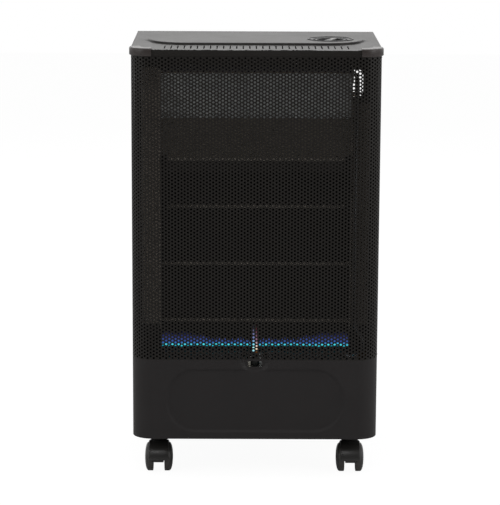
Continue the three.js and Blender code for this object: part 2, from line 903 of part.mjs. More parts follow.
// Barbed tail that the rubber hose from the cylinder is pushed on to.
function hoseNozzle() {
  const profile = [
    [0, 17.4],
    [8, 17.4],
    [8, 25],
    [4.6, 26],
    [5.4, 31],
    [4.4, 31.2],
    [5.2, 37],
    [4.2, 37.2],
    [4.6, 43],
    [0, 43],
  ].map(([r, y]) => new THREE.Vector2(r, y));
  const geometry = new THREE.LatheGeometry(profile, 12);
  const tail = toSolid(geometry);
  return cut(tail, rod("y", 2.6, 22, 50, [0, 0], 8));
}

// ---------------------------------------------------------------- pipes and leads
function gasPipe() {
  const z = portZ;
  const [forwardX, downY] = [172, partitionY - 19];
  return tube(
    [
      [knobX + 33.4, knobY, z],
      [knobX + 37, knobY, z],
      [forwardX - 1, knobY - 5, z],
      [forwardX, knobY - 12, z],
      [forwardX, partitionY - 4, z],
      [forwardX, downY + 4, z - 4],
      [forwardX, downY, z - 14],
      [forwardX, downY, 260],
      [forwardX + 3, downY, 250],
      [forwardX + 13, burner.y + 1, 236],
      [forwardX + 15, burner.y, 228],
      [forwardX + 15, burner.y, 212.4],
    ],
    3.6,
    8,
  );
}

// A thin line from the control, down behind the partition and forward to the pilot.
// rank and crossZ give each line its own lane, so that no two of them touch.
function pilotLine(rank, crossZ, radius, start, end) {
  const x = leadLane(rank);
  const behind = partitionY + 8 + 7 * rank;
  const lowZ = leadHoleZ;
  const runZ = lowZ - 4 - 5 * rank;
  const [startX, startY, startZ] = start;
  const [endX, endZ] = end;
  const endY = probeY;
  return tube(
    [
      start,
      [startX, startY, crossZ + 7],
      [startX + 8, (2 * startY + behind) / 3, crossZ],
      [x - 10, behind, crossZ],
      [x - 2, behind, crossZ - 4],
      [x, behind, crossZ - 14],
      [x, behind, lowZ + 12],
      [x, behind - 3, lowZ + 2],
      [x, behind - 8, lowZ],
      [x, partitionY - 12, lowZ],
      [x - 14, frontY + 46 - 3 * rank, runZ],
      [x - 50, endY, runZ],
      [endX + 10, endY, runZ],
      [endX + 3, endY, runZ + 1.5],
      [endX, endY, runZ + 6],
      [endX, endY, endZ],
    ],
    radius,
    5,
  );
}

// ---------------------------------------------------------------- casters
const casterPlaces = [
  { name: "front_left", x: -166, y: frontY + 64 },
  { name: "front_right", x: 166, y: frontY + 64 },
  { name: "rear_left", x: -146, y: 140 },
  { name: "rear_right", x: 146, y: 140 },
];

// The parts of one caster, about its swivel axis, with the wheels trailing to the front.
function casterHousing() {
  const [hoodOuter, hoodInner] = [28.5, 26];
  const hoodHalf = 17;
  const webHalf = 9;
  const [axleY, axleZ] = [-casterTrail, wheelRadius];
  const hood = new THREE.Shape();
  const [startAngle, endAngle] = [(50 * Math.PI) / 180, (176 * Math.PI) / 180];
  hood.absarc(axleY, axleZ, hoodOuter, startAngle, endAngle);
  hood.absarc(axleY, axleZ, hoodInner, endAngle, startAngle, true);
  const web = new THREE.Shape();
  web.moveTo(axleY - hoodInner - 0.5, axleZ + 1);
  web.lineTo(axleY - 14, axleZ + 1);
  web.lineTo(axleY - 8, axleZ - 4);
  web.lineTo(axleY + 5, axleZ - 6);
  web.lineTo(9, 33);
  web.lineTo(9, 56);
  web.lineTo(axleY, axleZ + hoodInner + 1);
  web.lineTo(axleY - 18.5, axleZ + 19);
  const boss = join(
    rod("z", 17.5, 52.5, 65, [0, 0], 14),
    rod("z", webHalf, 33, 60, [0, 0], 10),
  );
  return cut(
    join(
      sideways(hood, -hoodHalf, hoodHalf, 4),
      sideways(web, -webHalf, webHalf),
      boss,
    ),
    rod("z", 4.8, 30, 70, [0, 0], 8),
    rod("x", 3.5, -20, 20, [axleY, axleZ], 8),
  );
}

function casterStem() {
  return join(
    rod("z", 17, 65.5, 71, [0, 0], 14),
    rod("z", 4, 37, 66, [0, 0], 8),
    rod("z", 5, 70, 82, [0, 0], 8),
    rod("z", 8.5, 73, 79, [0, 0], 6),
  );
}

function casterAxle() {
  return rod("x", 3, -22, 22, [-casterTrail, wheelRadius], 8);
}

// A wheel lies outside the housing's web; its outer face is domed. One flat of its tread is down.
function casterWheel(side) {
  const sides = 16;
  const tread = wheelRadius / Math.cos(Math.PI / sides);
  const profile = [
    [3.9, 9.9],
    [tread, 9.9],
    [tread, 17.6],
    [20.8, 22.6],
    [12, 23.9],
    [3.9, 24.2],
    [3.9, 9.9],
  ].map(([r, x]) => new THREE.Vector2(r, x));
  const geometry = new THREE.LatheGeometry(profile, sides, Math.PI / sides);
  geometry.rotateZ(Math.PI / 2);
  if (side > 0) geometry.rotateZ(Math.PI);
  geometry.translate(0, -casterTrail, wheelRadius);
  return toSolid(geometry);
}

function addCaster({ name, x, y }) {
  const group = new THREE.Group();
  group.position.set(x, y, 0);
  root.add(group);
  place(`caster_${name}_stem`, casterStem(), material.galvanised, group);
  place(`caster_${name}_housing`, casterHousing(), material.blackPlastic, group);
  place(`caster_${name}_axle`, casterAxle(), material.stainless, group);
  place(`caster_${name}_wheel_left`, casterWheel(-1), material.tread, group);
  place(`caster_${name}_wheel_right`, casterWheel(1), material.tread, group);
}

// ---------------------------------------------------------------- assembly
place("base_tray", baseTray(), material.blackPaint);
place("front_panel", frontPanel(), material.blackPaint);
place("side_panel_left", sidePanel(-1), material.blackPaint);
place("side_panel_right", sidePanel(1), material.blackPaint);
place("top_cover", topCover(), material.topPaint);
place("corner_cap_left", cornerCap(-1), material.blackPlastic);
place("corner_cap_right", cornerCap(1), material.blackPlastic);
place("partition_panel", partitionPanel(), material.galvanised);
place("rear_crossbar", rearCrossbar(), material.galvanised);
place("rear_cover", rearCover(), material.blackPaint);

place("chamber_back_plate", chamberBack(), material.blackEnamel);
place("chamber_side_left", chamberSide(-1), material.galvanised);
place("chamber_side_right", chamberSide(1), material.galvanised);
place("chamber_hood", chamberHood(), material.tintedSteel);
place("heat_deflector", heatDeflector(), material.galvanised);
place("burner_tube", burnerTube(), material.stainless);
place("burner_bracket_left", burnerBracket(-1), material.galvanised);
place("burner_bracket_right", burnerBracket(1), material.galvanised);
place("air_mixer", airMixer(), material.galvanised);
place("gas_injector", gasInjector(), material.brass);
place("burner_guard", burnerGuard(), material.galvanised);
place("pilot_bracket", pilotBracket(), material.stainless);
place("pilot_burner", pilotBurner(), material.brass);
place("thermocouple", thermocouple(), material.stainless);
place("electrode_ceramic", electrodeCeramic(), material.ceramic);
place("electrode_rod", electrodeRod(), material.stainless);
place("gas_pipe", gasPipe(), material.aluminium);
const [valveUnderside, valveFrontY] = [665.4, knobY - 10];
place(
  "thermocouple_lead",
  pilotLine(0, 650, 1.5, [knobX + 18, valveFrontY, valveUnderside], [probeStep, 175.4]),
  material.brass,
);
place(
  "pilot_pipe",
  pilotLine(1, 644, 2, [knobX + 4, valveFrontY, valveUnderside], [0, 177.4]),
  material.aluminium,
);
place(
  "ignition_lead",
  pilotLine(2, 656, 1.5, [knobX + igniterAt[0], knobY + igniterAt[1], 667.4], [-probeStep, 175.4]),
  material.leadSleeve,
);

const control = new THREE.Group();
control.position.set(knobX, knobY, 0);
root.add(control);
place("gas_valve", gasValve(), material.aluminium, control);
place("valve_bracket", valveBracket(), material.galvanised, control);
place("valve_plunger", valvePlunger(), material.brass, control);
place("valve_spindle", valveSpindle(), material.brass, control);
place("knob_bezel", knobBezel(), material.blackPlastic, control);
place("piezo_igniter", piezoIgniter(), material.blackPlastic, control);
const knobMesh = place("control_knob", controlKnob(), material.knobPlastic, control);
knobMesh.rotation.z = (-20 * Math.PI) / 180; // the grip bar's direction when the heater is lit
const nozzleMesh = place("hose_nozzle", hoseNozzle(), material.brass, control);
nozzleMesh.position.z = portZ;

for (const caster of casterPlaces) addCaster(caster);

export default root;
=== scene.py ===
# %% [markdown]
# # A portable cabinet heater, dressed for its picture
# The heater is a black steel cabinet on four twin-wheel casters, with a perforated front that
# wraps round two corners and a slotted top with a sunken control knob. The CAD model already
# fixes every size, so this lesson loads it as a frame and only refines what can be seen: finer
# meshes for the casing, the knob and the casters, and a finish for every part.

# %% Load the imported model
import math
import bmesh
import bpy
from mathutils import Matrix, Vector


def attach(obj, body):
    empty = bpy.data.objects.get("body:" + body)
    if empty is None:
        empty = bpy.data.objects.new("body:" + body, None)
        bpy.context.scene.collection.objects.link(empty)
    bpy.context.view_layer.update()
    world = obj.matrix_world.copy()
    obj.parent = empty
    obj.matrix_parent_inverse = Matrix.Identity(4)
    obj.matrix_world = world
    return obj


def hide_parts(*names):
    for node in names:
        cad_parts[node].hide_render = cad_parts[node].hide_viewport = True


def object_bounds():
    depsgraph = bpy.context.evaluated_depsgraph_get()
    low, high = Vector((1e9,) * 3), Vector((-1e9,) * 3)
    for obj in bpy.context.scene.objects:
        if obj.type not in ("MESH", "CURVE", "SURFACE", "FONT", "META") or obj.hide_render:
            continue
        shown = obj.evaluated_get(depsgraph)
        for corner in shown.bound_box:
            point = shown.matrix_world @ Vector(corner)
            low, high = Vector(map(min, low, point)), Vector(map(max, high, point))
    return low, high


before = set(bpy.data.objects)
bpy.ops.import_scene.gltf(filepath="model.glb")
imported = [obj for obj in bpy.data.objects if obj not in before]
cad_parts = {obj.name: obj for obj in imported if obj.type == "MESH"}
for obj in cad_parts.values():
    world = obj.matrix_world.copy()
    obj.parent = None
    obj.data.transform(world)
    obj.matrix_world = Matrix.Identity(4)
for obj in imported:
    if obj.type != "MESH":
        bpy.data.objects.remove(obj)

bpy.context.view_layer.update()
cad_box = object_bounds()
mm = 0.001
size = cad_box[1] - cad_box[0]
print(f"{len(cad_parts)} CAD parts, {size.x:.3f} x {size.y:.3f} x {size.z:.3f} m")

# %% [markdown]
# ## The camera
# The picture is taken from the front with a long lens, a little above the cabinet and looking
# slightly down. A camera could be placed by eye, but its place was measured from the cabinet's
# edges instead, so edges in the render fall where they do in the picture.

# %% Place the camera
camera_data = bpy.data.cameras.new("photo_camera")
camera_data.lens = 151.97
camera_data.clip_start, camera_data.clip_end = 0.1, 50
camera = bpy.data.objects.new("photo_camera", camera_data)
bpy.context.scene.collection.objects.link(camera)
bpy.context.scene.camera = camera

yaw, pitch, roll = 0.0040, 0.1944, 0.0046
forward = Vector((math.sin(yaw) * math.cos(pitch), math.cos(yaw) * math.cos(pitch), -math.sin(pitch)))
level = Vector((math.cos(yaw), -math.sin(yaw), 0))
upright = level.cross(forward)
right = math.cos(roll) * level + math.sin(roll) * upright
up = math.cos(roll) * upright - math.sin(roll) * level
camera.matrix_world = Matrix.LocRotScale(
    Vector((-23.5, -3732.8, 1091.5)) * mm, Matrix((right, up, -forward)).transposed(), None
)
print("camera at", tuple(round(v, 3) for v in camera.location))

# %% [markdown]
# ## A few hand tools
# Modelling by hand is a loop of three moves: select something, run a tool on it, apply the
# result. Each move gets a short function. The pieces are chosen by their place, which keeps
# working when a size changes, while a list of face numbers would not. Lengths are written in
# millimetres, as on a drawing, and mm turns them into Blender's metres.

# %% Selecting and editing
sheet = 0.8  # thickness of the cabinet's steel


def deselect_all():
    if bpy.context.object and bpy.context.object.mode != "OBJECT":
        bpy.ops.object.mode_set(mode="OBJECT")
    bpy.ops.object.select_all(action="DESELECT")


def take(piece):
    """Makes one piece the selected and active one, in object mode."""
    deselect_all()
    piece.select_set(True)
    bpy.context.view_layer.objects.active = piece
    return piece


def select_all():
    bpy.ops.mesh.select_all(action="SELECT")


def edit(piece):
    """Opens a piece in edit mode with all of it selected."""
    take(piece)
    bpy.ops.object.mode_set(mode="EDIT")
    select_all()


def middle(item):
    """The middle of a face or an edge, or the place of a vertex, in millimetres."""
    if isinstance(item, bmesh.types.BMFace):
        return item.calc_center_median() / mm
    if isinstance(item, bmesh.types.BMEdge):
        return (item.verts[0].co + item.verts[1].co) / 2 / mm
    return item.co / mm


def pick(kind, test):
    """Selects only the VERT, EDGE or FACE items that pass the test, and says how many."""
    bpy.ops.mesh.select_mode(type=kind)
    bpy.ops.mesh.select_all(action="DESELECT")
    mesh = bpy.context.object.data
    shape = bmesh.from_edit_mesh(mesh)
    items = {"VERT": shape.verts, "EDGE": shape.edges, "FACE": shape.faces}[kind]
    chosen = [item for item in items if test(item)]
    for item in chosen:
        item.select_set(True)
    bmesh.update_edit_mesh(mesh)
    return len(chosen)


def reshape(piece, rule):
    """Moves every vertex to where the rule sends it; the rule works in millimetres."""
    take(piece)
    for vertex in piece.data.vertices:
        vertex.co = Vector(rule(vertex.co / mm)) * mm


def modify(piece, kind, **settings):
    """Adds a modifier and applies it at once."""
    take(piece)
    modifier = piece.modifiers.new(kind.title(), kind)
    for key, value in settings.items():
        setattr(modifier, key, value)
    bpy.ops.object.modifier_apply(modifier=modifier.name)


def carve(piece, tool):
    """Cuts the tool's shape out of the piece and throws the tool away."""
    modify(piece, "BOOLEAN", object=tool, operation="DIFFERENCE", solver="EXACT")
    bpy.data.objects.remove(tool)


def thicken(piece, offset=-1):
    """Gives a sheet its thickness, behind its face."""
    modify(piece, "SOLIDIFY", thickness=sheet * mm, offset=offset)


def repeat(piece, count, step, **settings):
    """Repeats a piece count times, each one step further."""
    modify(
        piece, "ARRAY", count=count, use_relative_offset=False, use_constant_offset=True,
        constant_offset_displace=[v * mm for v in step], **settings,
    )


def extrude(x, y, z):
    """Extrudes what is selected."""
    bpy.ops.mesh.extrude_region_move(TRANSFORM_OT_translate={"value": (x * mm, y * mm, z * mm)})


def face_outwards(mesh, test=lambda face: True):
    """Flips the mesh being edited if the faces that pass the test look backwards."""
    shape = bmesh.from_edit_mesh(mesh)
    shape.normal_update()
    if sum(face.normal.y * face.calc_area() for face in shape.faces if test(face)) > 0:
        select_all()
        bpy.ops.mesh.flip_normals()


# %% [markdown]
# ## Starting shapes
# Three starting shapes cover this whole heater. Sheet metal starts as a flat grid. Anything
# round starts as a line, drawn by extruding one point, and is turned with the spin tool, as on
# a lathe. Anything cut from plate starts as the same line, closed, filled and extruded.

# %% Grid, line, lathe and plate
def flat_sheet(x_range, z_range, columns, rows):
    """An upright grid in the plane y = 0 that faces the front."""
    (x0, x1), (z0, z1) = x_range, z_range
    deselect_all()
    bpy.ops.mesh.primitive_grid_add(
        x_subdivisions=columns, y_subdivisions=rows, size=1,
        location=((x0 + x1) / 2 * mm, 0, (z0 + z1) / 2 * mm), rotation=(math.pi / 2, 0, 0),
    )
    piece = bpy.context.object
    piece.scale = ((x1 - x0) * mm, (z1 - z0) * mm, 1)
    bpy.ops.object.transform_apply(location=True, rotation=True, scale=True)
    return piece


def line(points, closed=False):
    """A plane is merged to one point, which is then extruded from place to place."""
    deselect_all()
    bpy.ops.mesh.primitive_plane_add(size=mm, location=Vector(points[0]) * mm)
    piece = bpy.context.object
    bpy.ops.object.transform_apply(location=True)
    edit(piece)
    bpy.ops.mesh.select_mode(type="VERT")
    select_all()
    bpy.ops.mesh.merge(type="CENTER")
    for start, end in zip(points, points[1:]):
        step = (Vector(end) - Vector(start)) * mm
        bpy.ops.mesh.extrude_vertices_move(TRANSFORM_OT_translate={"value": step})
    select_all()
    if closed:
        bpy.ops.mesh.edge_face_add()
    return piece


def tidy_mesh(piece):
    """Merges doubled points and turns every face outwards."""
    edit(piece)
    bpy.ops.mesh.remove_doubles(threshold=2e-6)
    bpy.ops.mesh.normals_make_consistent(inside=False)
    take(piece)


def spun(points, centre, axis, steps=48, angle=2 * math.pi):
    """Spins a profile about an axis."""
    piece = line(points)
    bpy.ops.mesh.spin(steps=steps, angle=angle, center=Vector(centre) * mm, axis=axis)
    tidy_mesh(piece)
    return piece


def lathe(profile, x, y, steps=48):
    """An upright turned piece from (radius, height) pairs, about the axis through x, y."""
    return spun([(x + r, y, z) for r, z in profile], (x, y, 0), (0, 0, 1), steps)


def plate(outline, push):
    """Fills an outline and extrudes it by the vector push."""
    piece = line(outline, closed=True)
    bpy.ops.mesh.extrude_region_move(TRANSFORM_OT_translate={"value": Vector(push) * mm})
    tidy_mesh(piece)
    return piece


def merge_into(piece, *others):
    take(piece)
    for other in others:
        other.select_set(True)
    bpy.ops.object.join()
    return piece


# %% [markdown]
# ## Handing a piece over
# Every finished piece needs the same few things: a name, a finish, smooth shading that stops
# at real edges, and the body of the CAD model that it moves with. Where it stands for a CAD
# part, that part is hidden.

# %% Finish a piece
finishes = {}


def complete(piece, name, finish, replaces=(), angle=35, body="cabinet", slot=None):
    """The slot argument is not used."""
    slot = slot or finish
    take(piece)
    bpy.ops.object.transform_apply(location=True, rotation=True, scale=True)
    piece.name = piece.data.name = name
    if not piece.data.materials:
        piece.data.materials.append(finishes[finish])
    bpy.ops.object.shade_smooth_by_angle(angle=math.radians(angle))
    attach(piece, body)
    if replaces:
        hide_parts(*replaces)
    corners = [Vector(c) for c in piece.bound_box]
    low = [round(min(c[i] for c in corners) / mm, 1) for i in range(3)]
    high = [round(max(c[i] for c in corners) / mm, 1) for i in range(3)]
    triangles = sum(len(face.vertices) - 2 for face in piece.data.polygons)
    print(f"{name}: {triangles} triangles, {low} to {high} mm")
    return piece


def copied(piece, name, shift):
    """A copy with a mesh of its own, moved by shift."""
    twin = piece.copy()
    twin.data = piece.data.copy()
    twin.name = twin.data.name = name
    twin.data.transform(Matrix.Translation(Vector(shift) * mm))
    bpy.context.scene.collection.objects.link(twin)
    return twin


# %% [markdown]
# ## Nodes in fewer words
# A finish is a small network of nodes. One function adds a node and fills its sockets: a value
# that is another node's socket is linked, any other value is set on the socket itself.

# %% Node helpers
def feed(tree, socket, value):
    if isinstance(value, bpy.types.NodeSocket):
        tree.links.new(value, socket)
    else:
        socket.default_value = value


def add(tree, kind, settings=None, **sockets):
    made = tree.nodes.new("ShaderNode" + kind)
    for key, value in (settings or {}).items():
        setattr(made, key, value)
    for key, value in sockets.items():
        feed(tree, made.inputs[key.replace("_", " ")], value)
    return made


def math_node(tree, operation, a, b, clamp=False):
    made = add(tree, "Math", {"operation": operation, "use_clamp": clamp})
    feed(tree, made.inputs[0], a)
    feed(tree, made.inputs[1], b)
    return made.outputs[0]


def mixed(tree, factor, a, b, how="MIX"):
    """Mixes two colours."""
    made = add(tree, "Mix", {"data_type": "RGBA", "blend_type": how})
    for number, value in ((0, factor), (6, a), (7, b)):
        feed(tree, made.inputs[number], value)
    return made.outputs[2]


def placed(tree):
    """The place on the piece itself, which every pattern here reads."""
    return add(tree, "TexCoord").outputs["Object"]


def noise(tree, place, scale, detail=2.0, roughness=0.55):
    return add(tree, "TexNoise", Vector=place, Scale=scale, Detail=detail, Roughness=roughness).outputs["Fac"]


def group(name, inputs, outputs):
    """An empty node group with named sockets; inputs give their usual values."""
    made = bpy.data.node_groups.new(name, "ShaderNodeTree")
    for label, value in inputs.items():
        kind = "NodeSocketFloat" if isinstance(value, (int, float)) else "NodeSocketColor"
        made.interface.new_socket(label, in_out="INPUT", socket_type=kind).default_value = value
    for label, kind in outputs.items():
        made.interface.new_socket(label, in_out="OUTPUT", socket_type="NodeSocket" + kind)
    return made, made.nodes.new("NodeGroupInput").outputs, made.nodes.new("NodeGroupOutput").inputs


def srgb(code):
    """A colour as it looks on screen, such as 2a2828, turned into the linear values Blender uses."""
    parts = [int(code[i : i + 2], 16) / 255 for i in (0, 2, 4)]
    return (*[p / 12.92 if p < 0.04045 else ((p + 0.055) / 1.055) ** 2.4 for p in parts], 1)


# %% [markdown]
# ## Effects that several finishes share
# Powder coat, moulded plastic and cast metal all have a fine grain, and all of them vary a
# little from place to place. One group gives both, with the grain's size as an input. It gives
# out a colour, a roughness and a height. The shader itself stays in each material.

# %% Fine grain
plain_grey = (0.5, 0.5, 0.5, 1)
grain, given, made = group(
    "fine_grain",
    {"Colour": plain_grey, "Roughness": 0.5, "Grains per metre": 1600.0, "Unevenness": 0.1},
    {"Colour": "Color", "Roughness": "Float", "Height": "Float"},
)
place = placed(grain)
fine = noise(grain, place, given["Grains per metre"], 2.0)
broad = noise(grain, place, 14.0, 4.0, 0.6)
both = math_node(grain, "ADD", math_node(grain, "MULTIPLY", fine, 0.6), math_node(grain, "MULTIPLY", broad, 1.4))
shift = math_node(grain, "SUBTRACT", both, 1.0)
brightness = math_node(grain, "ADD", math_node(grain, "MULTIPLY", shift, given["Unevenness"]), 1.0)
toned = add(grain, "HueSaturation", Value=brightness, Color=given["Colour"])
grain.links.new(toned.outputs["Color"], made["Colour"])
uneven = math_node(grain, "MULTIPLY", shift, math_node(grain, "MULTIPLY", given["Unevenness"], 0.5))
grain.links.new(math_node(grain, "ADD", given["Roughness"], uneven, True), made["Roughness"])
grain.links.new(fine, made["Height"])
print("fine_grain:", len(grain.nodes), "nodes")

# %% [markdown]
# Dust lies on what faces up. It could be painted by hand, but the surface's own normal already
# tells where up is, so a mask is made from it and broken up with noise.

# %% Settled dust
dust, given, made = group(
    "settled_dust",
    {"Colour": plain_grey, "Roughness": 0.5, "Dust colour": srgb("9a948a"), "Amount": 0.1},
    {"Colour": "Color", "Roughness": "Float"},
)
facing = add(dust, "SeparateXYZ", Vector=add(dust, "NewGeometry").outputs["Normal"]).outputs["Z"]
patches = noise(dust, placed(dust), 60.0, 5.0, 0.7)
mask = math_node(dust, "MULTIPLY", math_node(dust, "SUBTRACT", facing, 0.35, True), patches)
mask = math_node(dust, "MULTIPLY", mask, given["Amount"], True)
dust.links.new(mixed(dust, mask, given["Colour"], given["Dust colour"]), made["Colour"])
dust.links.new(math_node(dust, "ADD", given["Roughness"], mask, True), made["Roughness"])
print("settled_dust:", len(dust.nodes), "nodes")

# %% [markdown]
# Hot-dip zinc freezes in crystals, which show as pale and dark patches with straight borders:
# just what a Voronoi texture draws. Two sizes are mixed, so the pattern doesn't look printed.

# %% Zinc crystals
zinc, given, made = group(
    "zinc_crystals",
    {"Colour": plain_grey, "Roughness": 0.4, "Crystals per metre": 120.0, "Contrast": 0.3},
    {"Colour": "Color", "Roughness": "Float", "Height": "Float"},
)
place = placed(zinc)
large = add(zinc, "TexVoronoi", Vector=place, Scale=given["Crystals per metre"]).outputs["Color"]
small = add(
    zinc, "TexVoronoi", Vector=place, Scale=math_node(zinc, "MULTIPLY", given["Crystals per metre"], 2.7)
).outputs["Color"]
blend = math_node(
    zinc, "ADD",
    math_node(zinc, "MULTIPLY", add(zinc, "SeparateColor", Color=large).outputs[0], 0.65),
    math_node(zinc, "MULTIPLY", add(zinc, "SeparateColor", Color=small).outputs[1], 0.35),
)
shift = math_node(zinc, "MULTIPLY", math_node(zinc, "SUBTRACT", blend, 0.5), given["Contrast"])
toned = add(zinc, "HueSaturation", Value=math_node(zinc, "ADD", shift, 1.0), Color=given["Colour"])
zinc.links.new(toned.outputs["Color"], made["Colour"])
zinc.links.new(math_node(zinc, "SUBTRACT", given["Roughness"], shift, True), made["Roughness"])
zinc.links.new(blend, made["Height"])
print("zinc_crystals:", len(zinc.nodes), "nodes")

# %% [markdown]
# Steel that has been hot keeps its temper colours: straw, brown, purple and blue, in bands that
# follow the height above the flames. A colour ramp over the height gives them. Squeezed into a few
# millimetres, the same ramp also darkens the top edge of the heat deflector under the lid: painted shade.

# %% Temper colours and painted shade
def fill_ramp(ramp, stops):
    """stops are (place on the ramp, colour), from the low end up."""
    elements = ramp.color_ramp.elements
    for _ in stops[2:]:
        elements.new(0.5)
    for index, (at, colour) in enumerate(stops):
        elements[index].position, elements[index].color = at, colour


temper_and_shade, given, made = group(
    "temper_and_painted_shade",
    {"Colour": plain_grey, "Coolest height": 0.7, "Hottest height": 0.5, "Strength": 0.6},
    {"Colour": "Color"},
)
place = placed(temper_and_shade)
height = add(temper_and_shade, "SeparateXYZ", Vector=place).outputs["Z"]
span = math_node(temper_and_shade, "SUBTRACT", given["Coolest height"], given["Hottest height"])
plain_share = math_node(temper_and_shade, "DIVIDE", math_node(temper_and_shade, "SUBTRACT", height, given["Hottest height"]), span)
wander = math_node(temper_and_shade, "MULTIPLY", math_node(temper_and_shade, "SUBTRACT", noise(temper_and_shade, place, 16.0, 4.0), 0.5), 0.9)
ramp = add(temper_and_shade, "ValToRGB", Fac=math_node(temper_and_shade, "ADD", plain_share, wander, True))
bands = [(0.0, "4d4a55"), (0.25, "5a5060"), (0.45, "6b4a3c"), (0.7, "a58a5c"), (1.0, "ffffff")]
fill_ramp(ramp, [(at, srgb(code)) for at, code in bands])
temper_and_shade.links.new(mixed(temper_and_shade, given["Strength"], given["Colour"], ramp.outputs["Color"], "MULTIPLY"), made["Colour"])
print("temper_and_painted_shade:", len(temper_and_shade.nodes), "nodes")

# %% [markdown]
# Handled and rolled metal has hairline marks. Noise that is stretched along one direction
# gives streaks, and the direction is set by how much each axis is squeezed.

# %% Hairlines
hairlines, given, made = group(
    "hairlines",
    {"Colour": plain_grey, "Roughness": 0.4, "Along X": 40.0, "Along Y": 900.0, "Along Z": 900.0, "Contrast": 0.2},
    {"Colour": "Color", "Roughness": "Float", "Height": "Float"},
)
squeeze = add(hairlines, "CombineXYZ", X=given["Along X"], Y=given["Along Y"], Z=given["Along Z"]).outputs[0]
stretched = add(hairlines, "VectorMath", {"operation": "MULTIPLY"})
hairlines.links.new(placed(hairlines), stretched.inputs[0])
hairlines.links.new(squeeze, stretched.inputs[1])
streaks = noise(hairlines, stretched.outputs[0], 1.0, 3.0)
shift = math_node(hairlines, "MULTIPLY", math_node(hairlines, "SUBTRACT", streaks, 0.5), given["Contrast"])
toned = add(hairlines, "HueSaturation", Value=math_node(hairlines, "ADD", shift, 1.0), Color=given["Colour"])
hairlines.links.new(toned.outputs["Color"], made["Colour"])
hairlines.links.new(math_node(hairlines, "ADD", given["Roughness"], shift, True), made["Roughness"])
hairlines.links.new(streaks, made["Height"])
print("hairlines:", len(hairlines.nodes), "nodes")

# %% [markdown]
# ## The finishes
# Every finish is the same chain: one or two of the groups above, a bump from their height and
# a Principled shader. What is the same all over, such as how metallic it is, is set on the
# shader's own sockets.

# %% How a finish is put together
def finish_of(name, effect, colour, roughness, bump=0.1, dusty=0.0, tint=None, shader=None, **values):
    """effect is the group that gives the surface, and values are its other inputs."""
    material = bpy.data.materials.new(name)
    material.use_nodes = True
    tree = material.node_tree
    principled = tree.nodes["Principled BSDF"]
    for key, value in (shader or {}).items():
        principled.inputs[key].default_value = value
    used = tree.nodes.new("ShaderNodeGroup")
    used.node_tree = effect
    used.inputs["Colour"].default_value = srgb(colour)
    used.inputs["Roughness"].default_value = roughness
    for key, value in values.items():
        used.inputs[key.replace("_", " ")].default_value = value
    shown, rough = used.outputs["Colour"], used.outputs["Roughness"]
    if tint:
        warmed = tree.nodes.new("ShaderNodeGroup")
        warmed.node_tree = temper_and_shade
        tree.links.new(shown, warmed.inputs["Colour"])
        for key, value in tint.items():
            warmed.inputs[key].default_value = value
        shown = warmed.outputs["Colour"]
    if dusty:
        powdered = tree.nodes.new("ShaderNodeGroup")
        powdered.node_tree = dust
        tree.links.new(shown, powdered.inputs["Colour"])
        tree.links.new(rough, powdered.inputs["Roughness"])
        powdered.inputs["Amount"].default_value = dusty
        shown, rough = powdered.outputs["Colour"], powdered.outputs["Roughness"]
    tree.links.new(shown, principled.inputs["Base Color"])
    tree.links.new(rough, principled.inputs["Roughness"])
    raised = add(tree, "Bump", Strength=bump, Distance=0.0002, Height=used.outputs["Height"])
    tree.links.new(raised.outputs["Normal"], principled.inputs["Normal"])
    finishes[name] = material
    return material


# %% [markdown]
# The cabinet's black is a powder coat: dark, even and half matt, with a fine orange-peel grain.
# Its top looks grey in the picture only because it is seen at a low angle, where any coat
# mirrors the white room, so it gets no lighter colour of its own.

# %% Coats and plastics
def coat(name, colour, roughness, bump, gloss, grains, unevenness=0.1, dusty=0.0):
    """Paint, enamel or plastic; gloss is the shader's specular level."""
    finish_of(
        name, grain, colour, roughness, bump, dusty, shader={"Specular IOR Level": gloss},
        Grains_per_metre=grains, Unevenness=unevenness,
    )


for values in (
    ("cabinet_black", "252323", 0.48, 0.25, 0.13, 1900.0, 0.16),
    ("screen_black", "1d1b19", 0.44, 0.25, 0.15, 1900.0, 0.16),
    ("top_black", "232120", 0.42, 0.2, 0.133, 1900.0, 0.16, 0.1),
    ("cap_plastic", "2c2624", 0.38, 0.3, 0.34, 2600.0, 0.12),
    ("knob_plastic", "222121", 0.42, 0.2, 0.2, 2600.0, 0.1, 0.05),
    ("pointer_grey", "8a8886", 0.4, 0.1, 0.4, 2000.0),
    ("caster_plastic", "222120", 0.33, 0.15, 0.4, 2600.0, 0.2, 0.06),
    ("black_enamel", "191513", 0.55, 0.2, 0.25, 900.0, 0.5, 0.1),
    ("sooted_enamel", "080706", 0.7, 0.2, 0.08, 900.0, 0.5),
    ("cast_iron", "2a2d2b", 0.5, 0.3, 0.3, 1200.0, 0.3),
    # A pale enamel for the folds, the hood's lip and the walls' front edges: a painted highlight where they catch
    # light.
    ("painted_edge_highlight", "827c74", 0.6, 0.2, 0.2, 900.0, 0.3),
    # The two chamber walls get a lighter and a darker copy of one enamel: painted light on the left wall, painted
    # shade on the right.
    ("painted_light_enamel", "928a80", 0.6, 0.2, 0.2, 900.0, 0.3),
    ("painted_shade_enamel", "665f57", 0.6, 0.2, 0.2, 900.0, 0.3),
):
    coat(*values)
finish_of(
    "wheel_tread", hairlines, "2d2b28", 0.6, 0.3, 0.1, Along_X=900.0, Along_Y=300.0, Along_Z=300.0, Contrast=0.5
)
